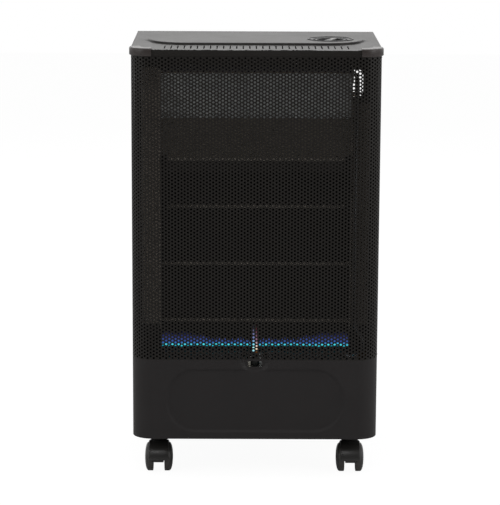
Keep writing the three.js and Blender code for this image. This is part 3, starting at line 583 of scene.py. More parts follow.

# %% [markdown]
# Inside and behind, the steel is galvanised. Over the flames it is heat-tinted, and the top edge of the heat
# deflector, under the lid, is darkened as painted shade.

# %% Metals
metal, weathered = {"Metallic": 1.0}, {"Metallic": 0.35}  # weathered zinc hardly mirrors
finish_of("galvanised", zinc, "8f9396", 0.42, 0.12, 0.15, shader=metal, Crystals_per_metre=110.0, Contrast=0.35)
finish_of(
    "heat_tinted_steel", zinc, "7d7468", 0.45, 0.1, shader=metal, Contrast=0.25,
    tint={"Coolest height": 0.68, "Hottest height": 0.5, "Strength": 0.85},
)
finish_of("straw_steel", zinc, "5c564d", 0.5, 0.12, shader=weathered, Crystals_per_metre=90.0, Contrast=0.3)
# This tint marks no heat: it darkens the deflector above 697 mm, where the lid shades it, as painted shade.
finish_of(
    "bright_zinc", zinc, "a7aaa9", 0.5, 0.12, shader=weathered, Crystals_per_metre=90.0, Contrast=0.3,
    tint={"Coolest height": 0.6935, "Hottest height": 0.697, "Strength": 1.0},
)
finish_of("stainless", hairlines, "a9a8a4", 0.3, 0.15, shader=metal, Contrast=0.25)
finish_of("brass", hairlines, "b18f4e", 0.3, 0.1, 0.1, shader=metal, Along_X=500.0, Along_Y=500.0, Along_Z=60.0)
finish_of(
    "pipe_aluminium", hairlines, "66686a", 0.36, 0.15, shader=metal, Along_X=400.0, Along_Y=400.0, Along_Z=30.0
)
finish_of("valve_aluminium", grain, "9fa1a3", 0.48, 0.5, 0.1, shader=metal, Grains_per_metre=1400.0, Unevenness=0.25)
finish_of("glazed_ceramic", grain, "e4dfd2", 0.25, 0.05, shader={"Coat Weight": 0.4}, Grains_per_metre=700.0)
finish_of("lead_sleeve", hairlines, "8e2f24", 0.6, 0.4, Along_X=300.0, Along_Y=300.0, Along_Z=1500.0, Contrast=0.5)
print(len(finishes), "finishes:", ", ".join(finishes))

# %% [markdown]
# ## The front sheet
# One sheet of steel makes the front. It is flat across the middle, bends back round two
# corners and ends on the sides. Blender's bend tool needs a window, so the sheet is modelled
# flat, with its length along x, and a short rule then rolls it round the corners: each point
# keeps its distance along the sheet, so nothing stretches.

# %% Roll a flat sheet round the front corners
front_y, half_width, corner, casing_rear = -203.0, 210.0, 34.0, 97.0
flat_half = half_width - corner
corner_length = corner * math.pi / 2


def rolled(point):
    """point.x is the distance along the sheet and point.y the depth behind its face."""
    along, depth = abs(point.x), point.y
    side = math.copysign(1, point.x)
    if along <= flat_half:
        return (point.x, front_y + depth, point.z)
    turn = (along - flat_half) / corner
    if along <= flat_half + corner_length:
        reach = corner - depth
        across, back = reach * math.sin(turn), reach * math.cos(turn)
        return (side * (flat_half + across), front_y + corner - back, point.z)
    return (side * (half_width - depth), front_y + corner + along - flat_half - corner_length, point.z)


# %% [markdown]
# Two shallow shapes are pressed into it at the foot: a wide field with large round corners,
# and a small round dish in front of the pilot light, which also takes in the lowest rows of
# holes. They overlap, so the deeper of the two counts at every point.

# %% Depth of the pressings
def smooth(t):
    t = min(max(t, 0.0), 1.0)
    return t * t * (3 - 2 * t)


def outside_round_box(x, z, half_x, half_z, radius):
    """How far a point lies outside a rectangle with round corners, negative inside."""
    dx, dz = abs(x) - half_x + radius, abs(z) - half_z + radius
    return math.hypot(max(dx, 0), max(dz, 0)) + min(max(dx, dz), 0) - radius


field_depth, field_middle, field_slope = 3.4, 137.5, 7.5
dish_depth, dish_middle, dish_radius, dish_slope = 6.0, 209, 26.5, 9


def pressed_in(point):
    field_reach = -outside_round_box(point.x, point.z - field_middle, 154, 57.5, 52)
    dish_reach = dish_radius - math.hypot(point.x, point.z - dish_middle)
    field, dish = field_depth * smooth(field_reach / field_slope), dish_depth * smooth(dish_reach / dish_slope)
    return rolled(Vector((point.x, point.y + max(field, dish), point.z)))


# %% [markdown]
# ## The perforated screen
# Nearly eight thousand round holes are the look of this front. A texture with transparency
# would be light, but its holes would have no edges from the side, so the holes are real. One
# hexagonal cell with a round hole is modelled and repeated by Array modifiers that merge
# neighbouring cells. Each cell has few faces, because it is repeated so often. The screen is
# made in three widths to keep each mesh small.

# %% One cell of the screen
pitch = 6.13  # from hole to hole, up the sheet
column_step = pitch * math.sin(math.pi / 3)
columns, rows = 94, 84
lowest_hole = 212.5
screen_low, screen_high = lowest_hole - pitch / 2, lowest_hole + pitch * rows
sheet_half, grid_columns = 257.4, 258  # half the sheet's length, and the apron's grid
screen_edge = sheet_half - 4 * 2 * sheet_half / grid_columns  # the fourth line of that grid
hole_radius = 1.88
first_column = -(columns - 1) / 2 * column_step


def hole_distance(x, z):
    """Distance to the nearest hole's centre."""
    best = 99.0
    nearest = round((x - first_column) / column_step)
    for column in (nearest - 1, nearest, nearest + 1):
        base = lowest_hole + (pitch / 2 if column % 2 else 0)
        row = round((z - base) / pitch)
        best = min(best, math.hypot(x - first_column - column * column_step, z - base - row * pitch))
    return best


def screen_cell(x, z):
    deselect_all()
    where = {"location": (x * mm, 0, z * mm), "rotation": (math.pi / 2, math.pi / 6, 0)}
    bpy.ops.mesh.primitive_circle_add(vertices=6, radius=pitch / math.sqrt(3) * mm, **where)
    cell = bpy.context.object
    bpy.ops.object.transform_apply(location=True, rotation=True)
    edit(cell)
    bpy.ops.mesh.primitive_circle_add(vertices=12, radius=hole_radius * mm, **where)
    select_all()
    bpy.ops.mesh.bridge_edge_loops()
    select_all()
    bpy.ops.mesh.normals_make_consistent(inside=False)
    face_outwards(cell.data)
    select_all()
    across = {"value": (column_step * mm, 0, pitch / 2 * mm)}
    bpy.ops.mesh.duplicate_move(TRANSFORM_OT_translate=across)
    select_all()
    bpy.ops.mesh.remove_doubles(threshold=2e-5)
    return take(cell)


# %% Repeat the cell, straighten the edges, roll the sheet
def on_edge(test):
    """Passes the vertices on the screen's edge, not those round a hole."""
    def chosen(vertex):
        place = middle(vertex)
        return vertex.is_boundary and test(place) and hole_distance(place.x, place.z) > hole_radius + 0.6
    return chosen


def screen_part(name, start, count):
    piece = screen_cell(first_column + start * column_step, lowest_hole)
    for step, times in (((2 * column_step, 0, 0), count // 2), ((0, 0, pitch), rows)):
        repeat(piece, times, step, use_merge_vertices=True, merge_threshold=2e-5)
    edit(piece)
    flatten = bpy.ops.transform.resize
    pick("VERT", on_edge(lambda p: p.z > screen_high - pitch * 0.7))
    flatten(value=(1, 1, 0), center_override=(0, 0, screen_high * mm))
    pick("VERT", on_edge(lambda p: p.z < screen_low + pitch * 0.7))
    flatten(value=(1, 1, 0), center_override=(0, 0, screen_low * mm))
    for side in (-1, 1):
        if pick("VERT", on_edge(lambda p: side * p.x > screen_edge - 1.5)):
            flatten(value=(0, 1, 1), center_override=(side * screen_edge * mm, 0, 0))
    reshape(piece, pressed_in)
    thicken(piece)
    return complete(piece, name, "screen_black", ["front_panel"], angle=50, slot="cabinet_black")


for part, start, count in (("screen_left", 0, 32), ("screen_middle", 32, 30), ("screen_right", 62, 32)):
    screen_part(part, start, count)
print(f"{columns * rows} holes, {pitch:.2f} mm apart")

# %% [markdown]
# The sheet round the holes is the apron below, a narrow border on each side and a strip under
# the top. The apron needs a fine grid, because the pressings are in it. The borders are drawn
# up from its top edge with the extrude tool.

# %% Apron, borders and top strip
body_low, body_high = 70, 736.8
apron = flat_sheet((-sheet_half, sheet_half), (body_low, screen_low), grid_columns, 70)
edit(apron)
pick("EDGE", lambda e: abs(middle(e).z - screen_low) < 0.1 and abs(middle(e).x) > screen_edge)
extrude(0, 0, screen_high - screen_low)
strip = flat_sheet((-sheet_half, sheet_half), (screen_high, body_high), grid_columns, 2)
merge_into(apron, strip)
edit(apron)
bpy.ops.mesh.remove_doubles(threshold=1e-5)
reshape(apron, pressed_in)
thicken(apron)

# %% The pilot's sight window
window = plate([(-12, -210, 196.5), (12, -210, 196.5), (12, -210, 206.1), (-12, -210, 206.1)], (0, 14, 0))
edit(window)
pick("EDGE", lambda e: abs(e.verts[0].co.y - e.verts[1].co.y) > 1 * mm)
bpy.ops.mesh.bevel(offset=1.6 * mm, segments=4)
carve(apron, take(window))
complete(apron, "front_apron", "cabinet_black", ["front_panel"], angle=50)

# %% [markdown]
# ## The top cover
# The top is a lid whose rim turns down 10 mm. Along its front runs a low strip with a row of
# slots, and a curved step rises 4 mm behind it and fades out towards both ends. The step is
# the hard part: a plain grid would draw it ragged. So the grid's rows are first bent to run
# along the curve, and only then lifted, and the rows at the front follow the round corners.

# %% Where the step runs
strip_top, plateau_top, lid_reach = 738.0, 742.0, 1.2


def step_line(x):
    """How far behind the front face the step starts, at x."""
    x = min(max(abs(x), 122), 186)
    t = (92 - math.sqrt(8464 - 112 * (x - 122))) / 56  # the place along the curve with this x
    return (1 - t) ** 2 * 86 + 2 * t * (1 - t) * 90 + t * t * 146


def step_width(x):
    """The step is steep nearly to its tips, where it fades into a slope."""
    return 1.6 + 24 * smooth((abs(x) - 174) / 20)


rise = [(0.0, 0.0), (0.12, 0.25), (0.3, 2.1), (0.5, 3.1), (0.85, 3.6), (1.45, 3.9), (2.2, 4.0)]
corner_rows = [corner - (corner + lid_reach) * math.cos(math.radians(a)) for a in range(0, 91, 6)]
front_rows = len(corner_rows) + 12
rear_rows = 40
row_count = front_rows + len(rise) + rear_rows


def lid_point(x, row):
    """Distance behind the front face and height of a row of the grid at x."""
    start, width, end = step_line(x), step_width(x), casing_rear - front_y + lid_reach
    if row < len(corner_rows):
        return corner_rows[row], strip_top
    if row < front_rows:
        share = (row - len(corner_rows) + 1) / 13
        return corner + (start - corner) * share, strip_top
    if row < front_rows + len(rise):
        across, lift = rise[row - front_rows]
        return start + across * width, strip_top + lift
    share = (row - front_rows - len(rise) + 1) / rear_rows
    begin = start + rise[-1][0] * width
    return begin + (end - begin) * share, plateau_top


# %% Bend, lift and hem the lid
lid_columns = 200
half_lid = half_width + lid_reach
lid = flat_sheet((-half_lid, half_lid), (0, row_count - 1), lid_columns, row_count - 1)


def smooth_ramp(back):
    """Along the sides the top rises in one straight line from the front corner to the rear."""
    return min(max((back - corner) / (casing_rear - front_y - corner), 0), 1)


def shape_lid(point):
    row = round(point.z)
    half_row = half_lid
    if row < len(corner_rows):
        drop = corner - corner_rows[row]
        half_row = flat_half + math.sqrt(max((corner + lid_reach) ** 2 - drop**2, 0))
    x = point.x * half_row / half_lid
    back, height = lid_point(x, row)
    side_share = smooth((abs(x) - 178) / 26)
    side_height = strip_top + (plateau_top - strip_top) * smooth_ramp(back)
    return (x, front_y + back, height + (side_height - height) * side_share)


reshape(lid, shape_lid)
edit(lid)
pick("EDGE", lambda e: e.is_boundary)
extrude(0, 0, -8)
bpy.ops.transform.resize(value=(1, 1, 0), center_override=(0, 0, (strip_top - 10) * mm))
pick("EDGE", lambda e: e.is_manifold and e.calc_face_angle(0) > 1.0 and middle(e).z > 735)
bpy.ops.mesh.bevel(offset=1.3 * mm, segments=3)
thicken(lid, -1 if lid.data.polygons[0].normal.z > 0 else 1)
print("lid grid:", lid_columns, "by", row_count - 1)

# %% [markdown]
# The slots are cut with one long tool: a round-ended bar that an Array modifier repeats. The
# round hole for the knob is cut in the same way.

# %% Slots and knob hole
knob_x, knob_y = 128.5, -46.0


slot_count, slot_step, slot_half = 29, 11, 1.05
eighths = (0, 0.79, 1.57, 2.36, 3.14)  # a half circle in four steps


def round_ended(x, y0, y1, half, z0, z1):
    ends = [(x + half * math.cos(a), y1 - half + half * math.sin(a)) for a in eighths]
    ends += [(x - half * math.cos(a), y0 + half - half * math.sin(a)) for a in eighths]
    return plate([(px, py, z0) for px, py in ends], (0, 0, z1 - z0))


slot_tool = round_ended(-14 * slot_step, front_y + 23, front_y + 73, slot_half, 730, 745)
repeat(slot_tool, slot_count, (slot_step, 0, 0))
carve(lid, slot_tool)
carve(lid, lathe([(0, 720), (31.8, 720), (31.8, 750), (0, 750)], knob_x, knob_y))
lid.data.materials.append(finishes["top_black"])
lid.data.materials.append(finishes["screen_black"])
# The lid's turned-down rim takes the darker screen black: painted shade on the rim.
for face in lid.data.polygons:
    face.material_index = 1 if abs(face.normal.z) < 0.5 and face.center.z < 0.7372 else 0
complete(lid, "top_lid", "top_black", ["top_cover"], angle=40)

# %% [markdown]
# ## Corner caps
# A moulded plastic cap covers each front corner of the lid. Its cross-section is the same all
# the way round: a wall outside the sheet and a lip over the top, with a rounded shoulder. So
# the section is drawn once, spun a quarter turn about the corner, and its two ends are pulled
# out a little along the front and the side.

# %% Model the caps
def corner_cap(side):
    cx, cy = side * flat_half, front_y + corner
    section = [
        (35.6, 727.5), (36.6, 727.5), (37, 728.2), (37, 737.6), (36.7, 738.9), (35.9, 739.9), (34.4, 740.5),
        (30, 740.8), (20, 741), (18.8, 740.7), (18.2, 740), (18.2, 738.3), (35.6, 738.3),
    ]
    piece = line([(cx, cy - r, z) for r, z in section], closed=True)
    bpy.ops.mesh.select_mode(type="FACE")
    select_all()
    bpy.ops.mesh.spin(steps=14, angle=-side * math.pi / 2, center=(cx * mm, cy * mm, 0), axis=(0, 0, 1))
    pick("FACE", lambda f: len(f.verts) > 4 and abs(middle(f).x - cx) < 0.1)
    extrude(-side * 1.2, 0, 0)
    pick("FACE", lambda f: len(f.verts) > 4 and abs(middle(f).y - cy) < 0.1)
    extrude(0, 5, 0)
    tidy_mesh(piece)
    return piece


both_sides = ((-1, "left"), (1, "right"))
for side, word in both_sides:
    complete(corner_cap(side), f"cap_{word}", "cap_plastic", [f"corner_cap_{word}"], angle=40)

# %% [markdown]
# ## Knob and bezel
# The knob sits sunk in a round cup, flush with the top, so nothing sticks out. Both are turned
# pieces. The knob's two finger scoops leave a bar to grip between them: they are cut with two
# halves of a turned tool, each made by bisecting it beside the bar. A light pointer is let
# into the bar.

# %% Turn the bezel
bezel = lathe(
    [(12, 716), (31, 716), (31, 742), (40, 742), (40, 743), (39.7, 743.3), (37.2, 743.3), (36.8, 743),
     (36.8, 742.2), (31.2, 742.2), (30.2, 741.9), (29.6, 741.2), (29.4, 740), (29.4, 718.4), (28.5, 717.5),
     (12, 717.5), (12, 716)],
    knob_x, knob_y, 72,
)
complete(bezel, "bezel", "knob_plastic", ["knob_bezel"], angle=30)

# %% Turn the knob and cut its scoops
knob_turn = math.radians(-20)  # where the knob stands when the heater is lit
knob = lathe(
    [(0, 725.5), (26.6, 725.5), (27.1, 726), (27.5, 739.6), (27.1, 740.8), (26.2, 741.5), (0, 741.5)],
    knob_x, knob_y, 72,
)
along_bar = Vector((-math.sin(knob_turn), math.cos(knob_turn), 0))
across_bar = Vector((along_bar.y, -along_bar.x, 0))
bar_half = 5.4
for side in (-1, 1):
    scoop = lathe([(0, 731.5), (17.5, 732), (21, 733.6), (22.6, 736.5), (23.4, 742.5), (0, 743)], knob_x, knob_y, 48)
    edit(scoop)
    cut_place = (Vector((knob_x, knob_y, 0)) + side * bar_half * across_bar) * mm
    bpy.ops.mesh.bisect(plane_co=cut_place, plane_no=side * across_bar, use_fill=True, clear_inner=True)
    tidy_mesh(scoop)
    carve(knob, scoop)
carve(knob, lathe([(0, 720), (4.6, 720), (4.6, 737), (0, 737)], knob_x, knob_y, 24))
modify(knob, "BEVEL", width=0.5 * mm, segments=2, limit_method="ANGLE", angle_limit=math.radians(40))
complete(knob, "knob", "knob_plastic", ["control_knob"], angle=40, body="knob")

# %% Let in the pointer
def beside_bar(along, across, z):
    return tuple(Vector((knob_x, knob_y, z)) + along * along_bar + across * across_bar)


pointer_outline = ((3, -1.6), (24.5, -1.6), (25.6, 0), (24.5, 1.6), (3, 1.6), (2, 0))
pointer = plate([beside_bar(along, across, 741.3) for along, across in pointer_outline], (0, 0, 0.5))
modify(pointer, "BEVEL", width=0.12 * mm, segments=2)
complete(pointer, "knob_pointer", "pointer_grey", body="knob", slot="knob_plastic")

# %% Marks on the bezel
marks, marks_radius = [], 33.2
for degrees in (-90, -40, 40, 90):
    a = math.radians(90 - degrees)
    mark_x, mark_y = knob_x + marks_radius * math.cos(a), knob_y + marks_radius * math.sin(a)
    marks.append(lathe([(0, 742), (0.9, 742), (0.9, 742.6), (0, 742.7)], mark_x, mark_y, 16))
merge_into(*marks)
complete(marks[0], "bezel_marks", "pointer_grey", slot="knob_plastic")

# %% [markdown]
# ## Pressed panels
# The sides and the rear cover are stiffened by a large flat field pressed into them. Its
# outline is a plane whose four corners are bevelled round. The field is inset and pushed in,
# the outline is bridged to the panel's edge, and both bends are bevelled soft.

# %% A flat panel with a pressed field
def pressed_panel(width, height, field, radius, depth):
    """In the plane y = 0, facing the front; field is (centre x, centre z, width, height)."""
    fx, fz, fw, fh = field
    panel = flat_sheet((fx - fw / 2, fx + fw / 2), (fz - fh / 2, fz + fh / 2), 1, 1)
    edit(panel)
    bpy.ops.mesh.select_mode(type="VERT")
    bpy.ops.mesh.bevel(offset=radius * mm, segments=14, affect="VERTICES")
    bpy.ops.mesh.select_mode(type="FACE")
    select_all()
    bpy.ops.mesh.inset(thickness=depth * 1.1 * mm, depth=0)
    bpy.ops.transform.translate(value=(0, depth * mm, 0))
    frame_piece = flat_sheet(width, height, 1, 1)
    edit(frame_piece)
    bpy.ops.mesh.delete(type="ONLY_FACE")
    merge_into(panel, frame_piece)
    edit(panel)
    pick("EDGE", lambda e: e.is_boundary or e.is_wire)
    bpy.ops.mesh.bridge_edge_loops()
    select_all()
    bpy.ops.mesh.normals_make_consistent(inside=False)
    pick("EDGE", lambda e: e.is_manifold and e.calc_face_angle(0) > 0.4)
    bpy.ops.mesh.bevel(offset=depth * 0.35 * mm, segments=3)
    face_outwards(panel.data)
    return take(panel)


# %% Side panels
side_x, pressed_depth = 208.8, 3.0


def side_sheet(side):
    """Drawn as seen from its own side, then stood up on that side of the cabinet."""
    panel = pressed_panel((-153, casing_rear), (83, body_high), (-22, 405, 150, 430), 50, pressed_depth)
    edit(panel)
    pick("EDGE", lambda e: e.is_boundary and abs(middle(e).x - casing_rear) < 0.1)
    extrude(0, 14, 0)
    thicken(panel)
    foot = flat_sheet((-153, 95), (72, 83.2), 1, 1)
    thicken(foot)
    merge_into(panel, foot)
    reshape(panel, lambda p: (side * (side_x - p.y), p.x, p.z))
    edit(panel)
    if side < 0:
        bpy.ops.mesh.flip_normals()
    return take(panel)


for side, word in both_sides:
    complete(side_sheet(side), f"side_sheet_{word}", "cabinet_black", [f"side_panel_{word}"], angle=40)

# %% [markdown]
# ## The rear cover
# The cover over the gas bottle is a U of sheet steel. Its back is a pressed panel; the two
# upright edges are spun a quarter turn to make the corners and extruded forward as wings, each
# with a narrow flange turned in. Two groups of louvres let air through: a slot is cut, and a
# small hood, a quarter of a flattened ball, stands over it.

# %% Bend the cover
rear_y, cover_half, bend = 206.0, side_x, 55.0
cover_low, cover_high, wing_end = 74.0, 590.0, 97.8
wing = rear_y - wing_end  # how far the wings reach forward from the back
back_half = cover_half - bend
cover = pressed_panel((-back_half, back_half), (cover_low, cover_high), (0, 330, 250, 250), 50, pressed_depth)
edit(cover)
for side in (-1, 1):
    pick("EDGE", lambda e: abs(middle(e).x - side * back_half) < 0.1 and abs(middle(e).y) < 0.1 and e.is_boundary)
    corner_axis = (side * back_half * mm, bend * mm, 0)
    bpy.ops.mesh.spin(steps=14, angle=-side * math.pi / 2, center=corner_axis, axis=(0, 0, 1))
    pick("EDGE", lambda e: e.is_boundary and abs(middle(e).y - bend) < 0.1 and side * middle(e).x > 200)
    extrude(0, wing - bend, 0)
    extrude(-side * 13, 0, 0)
tidy_mesh(cover)
edit(cover)
face_outwards(cover.data, lambda face: middle(face).y < 5)
pick("EDGE", lambda e: e.is_boundary and abs(middle(e).z - cover_high) < 0.1 and middle(e).y < wing - 0.7)
bpy.ops.mesh.extrude_region_move()
rim_scale = (cover_half - 5) / cover_half
bpy.ops.transform.resize(value=(rim_scale, rim_scale, 1), center_override=(0, wing * mm, cover_high * mm))
thicken(cover)

# %% Cut the slots and raise the louvres
louvre_rows, louvre_step = (112, 136, 160, 500, 524, 548), 84
slots = flat_sheet((-louvre_step - 34, -louvre_step + 34), (-2.6, 2.6), 1, 1)
edit(slots)
extrude(0, 4, 0)
tidy_mesh(slots)
reshape(slots, lambda p: (p.x, p.y - 2, p.z))
repeat(slots, 3, (louvre_step, 0, 0))
for z in louvre_rows:
    carve(cover, copied(slots, "slot_tool", (0, 0, z)))
bpy.data.objects.remove(slots)

deselect_all()
bpy.ops.mesh.primitive_uv_sphere_add(segments=24, ring_count=12, radius=mm, rotation=(0, math.pi / 2, 0))
hood = bpy.context.object
hood.scale = (6.5, 3.6, 37)
bpy.ops.object.transform_apply(location=True, rotation=True, scale=True)
edit(hood)
bpy.ops.mesh.bisect(plane_co=(0, 0, 0), plane_no=(0, 0, 1), clear_inner=True)
select_all()
bpy.ops.mesh.bisect(plane_co=(0, 0.2 * mm, 0), plane_no=(0, 1, 0), clear_outer=True)
thicken(hood)
repeat(hood, 3, (louvre_step, 0, 0))
hoods = [copied(hood, "louvre_row", (-louvre_step, 0, z - 3)) for z in louvre_rows]
bpy.data.objects.remove(hood)
merge_into(cover, *hoods)
reshape(cover, lambda p: (-p.x, rear_y - p.y, p.z))
complete(cover, "bottle_cover", "cabinet_black", ["rear_cover"], angle=40, body="rear_cover")

# %% [markdown]
# ## Casters
# A furniture caster has two domed wheels with a hood between and over them. The hood's
# cross-section is spun about the axle. The web that carries the axle is a plate, and the neck is
# turned. One caster is modelled about its own swivel axis and copied to the four corners.

# %% Hood, web and neck
axle_y, axle_z = -16.0, 25.0


def smooth_hood():
    half = [(17.2, 25.9), (17.4, 27.2), (16.6, 28.3), (14.5, 28.9)]  # (x, radius), outwards and up
    profile = [(-x, r) for x, r in half] + [(0, 29.1)] + half[::-1] + [(0, 26.2), (-17.2, 25.9)]
    start = math.radians(48)
    hood = line([(x, axle_y + r * math.cos(start), axle_z + r * math.sin(start)) for x, r in profile])
    bpy.ops.mesh.remove_doubles(threshold=1e-6)
    select_all()
    bpy.ops.mesh.edge_face_add()
    bpy.ops.mesh.select_mode(type="FACE")
    select_all()
    bpy.ops.mesh.spin(steps=30, angle=math.radians(-131), center=(0, axle_y * mm, axle_z * mm), axis=(1, 0, 0))
    tidy_mesh(hood)
    return hood


hood = smooth_hood()
web_half, web_outline = 8.8, (
    (-43.6, 24.5), (-42.6, 21.6), (-39.8, 20.6), (-33, 20.4), (-27, 19.6), (-21, 19), (-11, 18), (-3, 21),
    (8.6, 33), (8.6, 56), (-8, 54), (-16, 52.5), (-26, 49), (-36, 41), (-42.5, 28),
)
web = plate([(-web_half, y, z) for y, z in web_outline], (2 * web_half, 0, 0))
modify(web, "BEVEL", width=1.2 * mm, segments=3, limit_method="ANGLE", angle_limit=math.radians(50))
neck = lathe(
    [(0, 33), (9, 33), (9, 50.5), (13, 52), (16.6, 53.2), (17.5, 54.6), (17.5, 63.6), (16.6, 65), (0, 65)], 0, 0, 40
)
merge_into(hood, web, neck)
print("caster hood, web and neck:", len(hood.data.polygons), "faces")

# %% A domed wheel
tread_from = 24.2


def domed_wheel(side):
    profile = [  # (radius, x)
        (3.9, 9.9), (23.9, 9.9), (24.7, 10.2), (25, 10.8), (25, 17.6), (24.6, 18.9), (23.6, 20.1), (22.6, 20.9),
        (22.0, 20.9), (21.4, 21.5), (18, 22.6), (13, 23.5), (8.6, 23.9), (8.2, 23.5), (7.6, 23.5), (7.2, 24.0),
        (3.9, 24.2), (3.9, 9.9),
    ]
    wheel = spun([(side * x, axle_y, axle_z + r) for r, x in profile], (0, axle_y, axle_z), (1, 0, 0), 56)
    wheel.data.materials.append(finishes["caster_plastic"])
    wheel.data.materials.append(finishes["wheel_tread"])
    for face in wheel.data.polygons:
        centre = face.center / mm
        radius = math.hypot(centre.y - axle_y, centre.z - axle_z)
        face.material_index = 1 if radius > tread_from else 0
    return wheel


wheels = {word: domed_wheel(side) for side, word in both_sides}
flange = lathe([(4.2, 66), (15.6, 66), (17, 66.8), (17, 70.2), (16.4, 71), (4.2, 71), (4.2, 66)], 0, 0, 40)
stud = lathe([(0, 37), (3.6, 37), (4, 38), (4, 71), (5, 71), (5, 81.4), (4.4, 82), (0, 82)], 0, 0, 24)
nut = lathe([(5, 73), (8.6, 73.4), (9.4, 74.4), (9.4, 77.6), (8.6, 78.6), (5, 79), (5, 73)], 0, 0, 6)
merge_into(flange, stud, nut)

# %% Copy it to the four corners
corners = {"front_left": (-166, -139), "front_right": (166, -139), "rear_left": (-146, 140), "rear_right": (146, 140)}
for place, (x, y) in corners.items():
    housing, stem = f"caster_{place}_housing", f"caster_{place}_stem"
    own_hood, own_stem = copied(hood, "copy", (x, y, 0)), copied(flange, "copy", (x, y, 0))
    complete(own_hood, f"{place}_hood", "caster_plastic", [housing], body=f"{place}_fork")
    complete(own_stem, f"{place}_stem", "galvanised", [stem])
    for word, wheel in wheels.items():
        name = f"{place}_wheel_{word}"
        own_wheel = copied(wheel, "copy", (x, y, 0))
        complete(own_wheel, name, "caster_plastic", ["caster_" + name], body=name, slot="wheel_tread")
for start in (hood, flange, *wheels.values()):
    bpy.data.objects.remove(start)

# %% [markdown]
# ## The flames
# The heater is lit. Its burner shows a low row of blue flames with a bright cyan foot, and the
# pilot's small flame stands in the middle. A flame has no surface, but a thin closed teardrop
# that glows, and is see-through where the flame fades, looks right from every side. One
# teardrop is turned on the lathe and copied along the burner, and each copy is stretched to the
# flame's height at its place. A colour ramp over the height gives the colours.

# %% The look of a flame
def flame_finish(name, bottom, top, stops):
    """stops are (share of the height, colour, how solid it is)."""
    material = bpy.data.materials.new(name)
    material.use_nodes = True
    tree = material.node_tree
    principled = tree.nodes["Principled BSDF"]
    principled.inputs["Base Color"].default_value = (0, 0, 0, 1)
    principled.inputs["Specular IOR Level"].default_value = 0.0
    principled.inputs["Roughness"].default_value = 1.0
    principled.inputs["Emission Strength"].default_value = 1.0
    place = placed(tree)
    flicker = math_node(tree, "MULTIPLY", math_node(tree, "SUBTRACT", noise(tree, place, 90.0, 2.0), 0.5), 0.008)
    height = math_node(tree, "ADD", add(tree, "SeparateXYZ", Vector=place).outputs["Z"], flicker)
    share = add(tree, "MapRange", Value=height, From_Min=bottom * mm, From_Max=top * mm).outputs[0]
    colours, solids = add(tree, "ValToRGB", Fac=share), add(tree, "ValToRGB", Fac=share)
    fill_ramp(colours, [(at, srgb(code)) for at, code, _ in stops])
    fill_ramp(solids, [(at, (solid, solid, solid, 1)) for at, _, solid in stops])
    tree.links.new(colours.outputs["Color"], principled.inputs["Emission Color"])
    tree.links.new(solids.outputs["Color"], principled.inputs["Alpha"])
    finishes[name] = material
    return material


flame_finish("gas_flame", 214, 250, [
    (0.19, "0c5a70", 0.0), (0.23, "18a6ba", 0.55), (0.275, "50eaf0", 1.0), (0.31, "40c0dc", 0.85),
    (0.35, "3a64b8", 0.5), (0.6, "3c4688", 0.4), (1.0, "1c1c44", 0.0),
])
flame_finish("pilot_blue", 204, 270, [
    (0.17, "5a4468", 0.0), (0.22, "6a90b0", 0.5), (0.27, "b4fdff", 1.0), (0.36, "b8fcff", 1.0),
    (0.45, "78d8ee", 0.95), (0.545, "7c8cc8", 0.7), (0.75, "6c6c90", 0.5), (1.0, "2c2a38", 0.0),
])
flame_finish("pilot_warm", 204, 270, [
    (0.17, "7a4a1c", 0.0), (0.22, "7a4a1c", 0.4), (0.31, "ffe6c4", 1.0), (0.4, "f2d6cc", 0.95),
    (0.51, "94708a", 0.75), (0.7, "6c4a58", 0.6), (0.8, "683640", 0.5), (1.0, "3c2226", 0.0),
])
print("three looks of flame")

# %% Copy the flames along the burner
def teardrop(radius, low, high, x, y):
    rise = high - low
    shape = [(0, 0.0), (0.62, 0.06), (1.0, 0.22), (0.9, 0.45), (0.55, 0.75), (0, 1.0)]
    return lathe([(radius * r, low + rise * share) for r, share in shape], x, y, 8)


def flame_top(x):
    """The flames are tallest near the burner's ends."""
    return 236 + 13 * smooth((abs(x) - 60) / 70)


burner_y, pilot_y = -149, -181
flames = []
for side in (-1, 1):
    for i in range(33):
        x = side * (10.5 + i * 4.6)
        unrest = 1.5 * math.sin(2.3 * i)
        flames.append(teardrop(3.6, 214.2, flame_top(x) + unrest, x, burner_y))
merge_into(*flames)
complete(flames[0], "burner_flames", "gas_flame", angle=180, slot="stainless")
pilot = teardrop(3.4, 204.5, 266, -2.9, pilot_y)
complete(pilot, "pilot_flame", "pilot_blue", angle=180, slot="stainless")
glow = teardrop(2.2, 204.5, 270, 2.1, pilot_y)
complete(glow, "pilot_flame_tip", "pilot_warm", angle=180, slot="stainless")

# %% [markdown]
# The thermocouple's tip stands beside the pilot flame. Its CAD solid is a plain rod, and through
# the screen its collar and thinner tip can be made out, so it is turned again on the lathe.

# %% Turn the thermocouple
probe = [(0, 176), (2.6, 176), (2.6, 188), (4.2, 188.4), (4.2, 194), (3, 194.4), (3, 215), (2.4, 218), (0, 219)]
complete(lathe(probe, 10, pilot_y, 16), "thermocouple_probe", "bright_zinc", ["thermocouple"], slot="stainless")

# %% [markdown]
# ## The carried-over parts
# Parts whose CAD shape is right keep it and only get their finish.

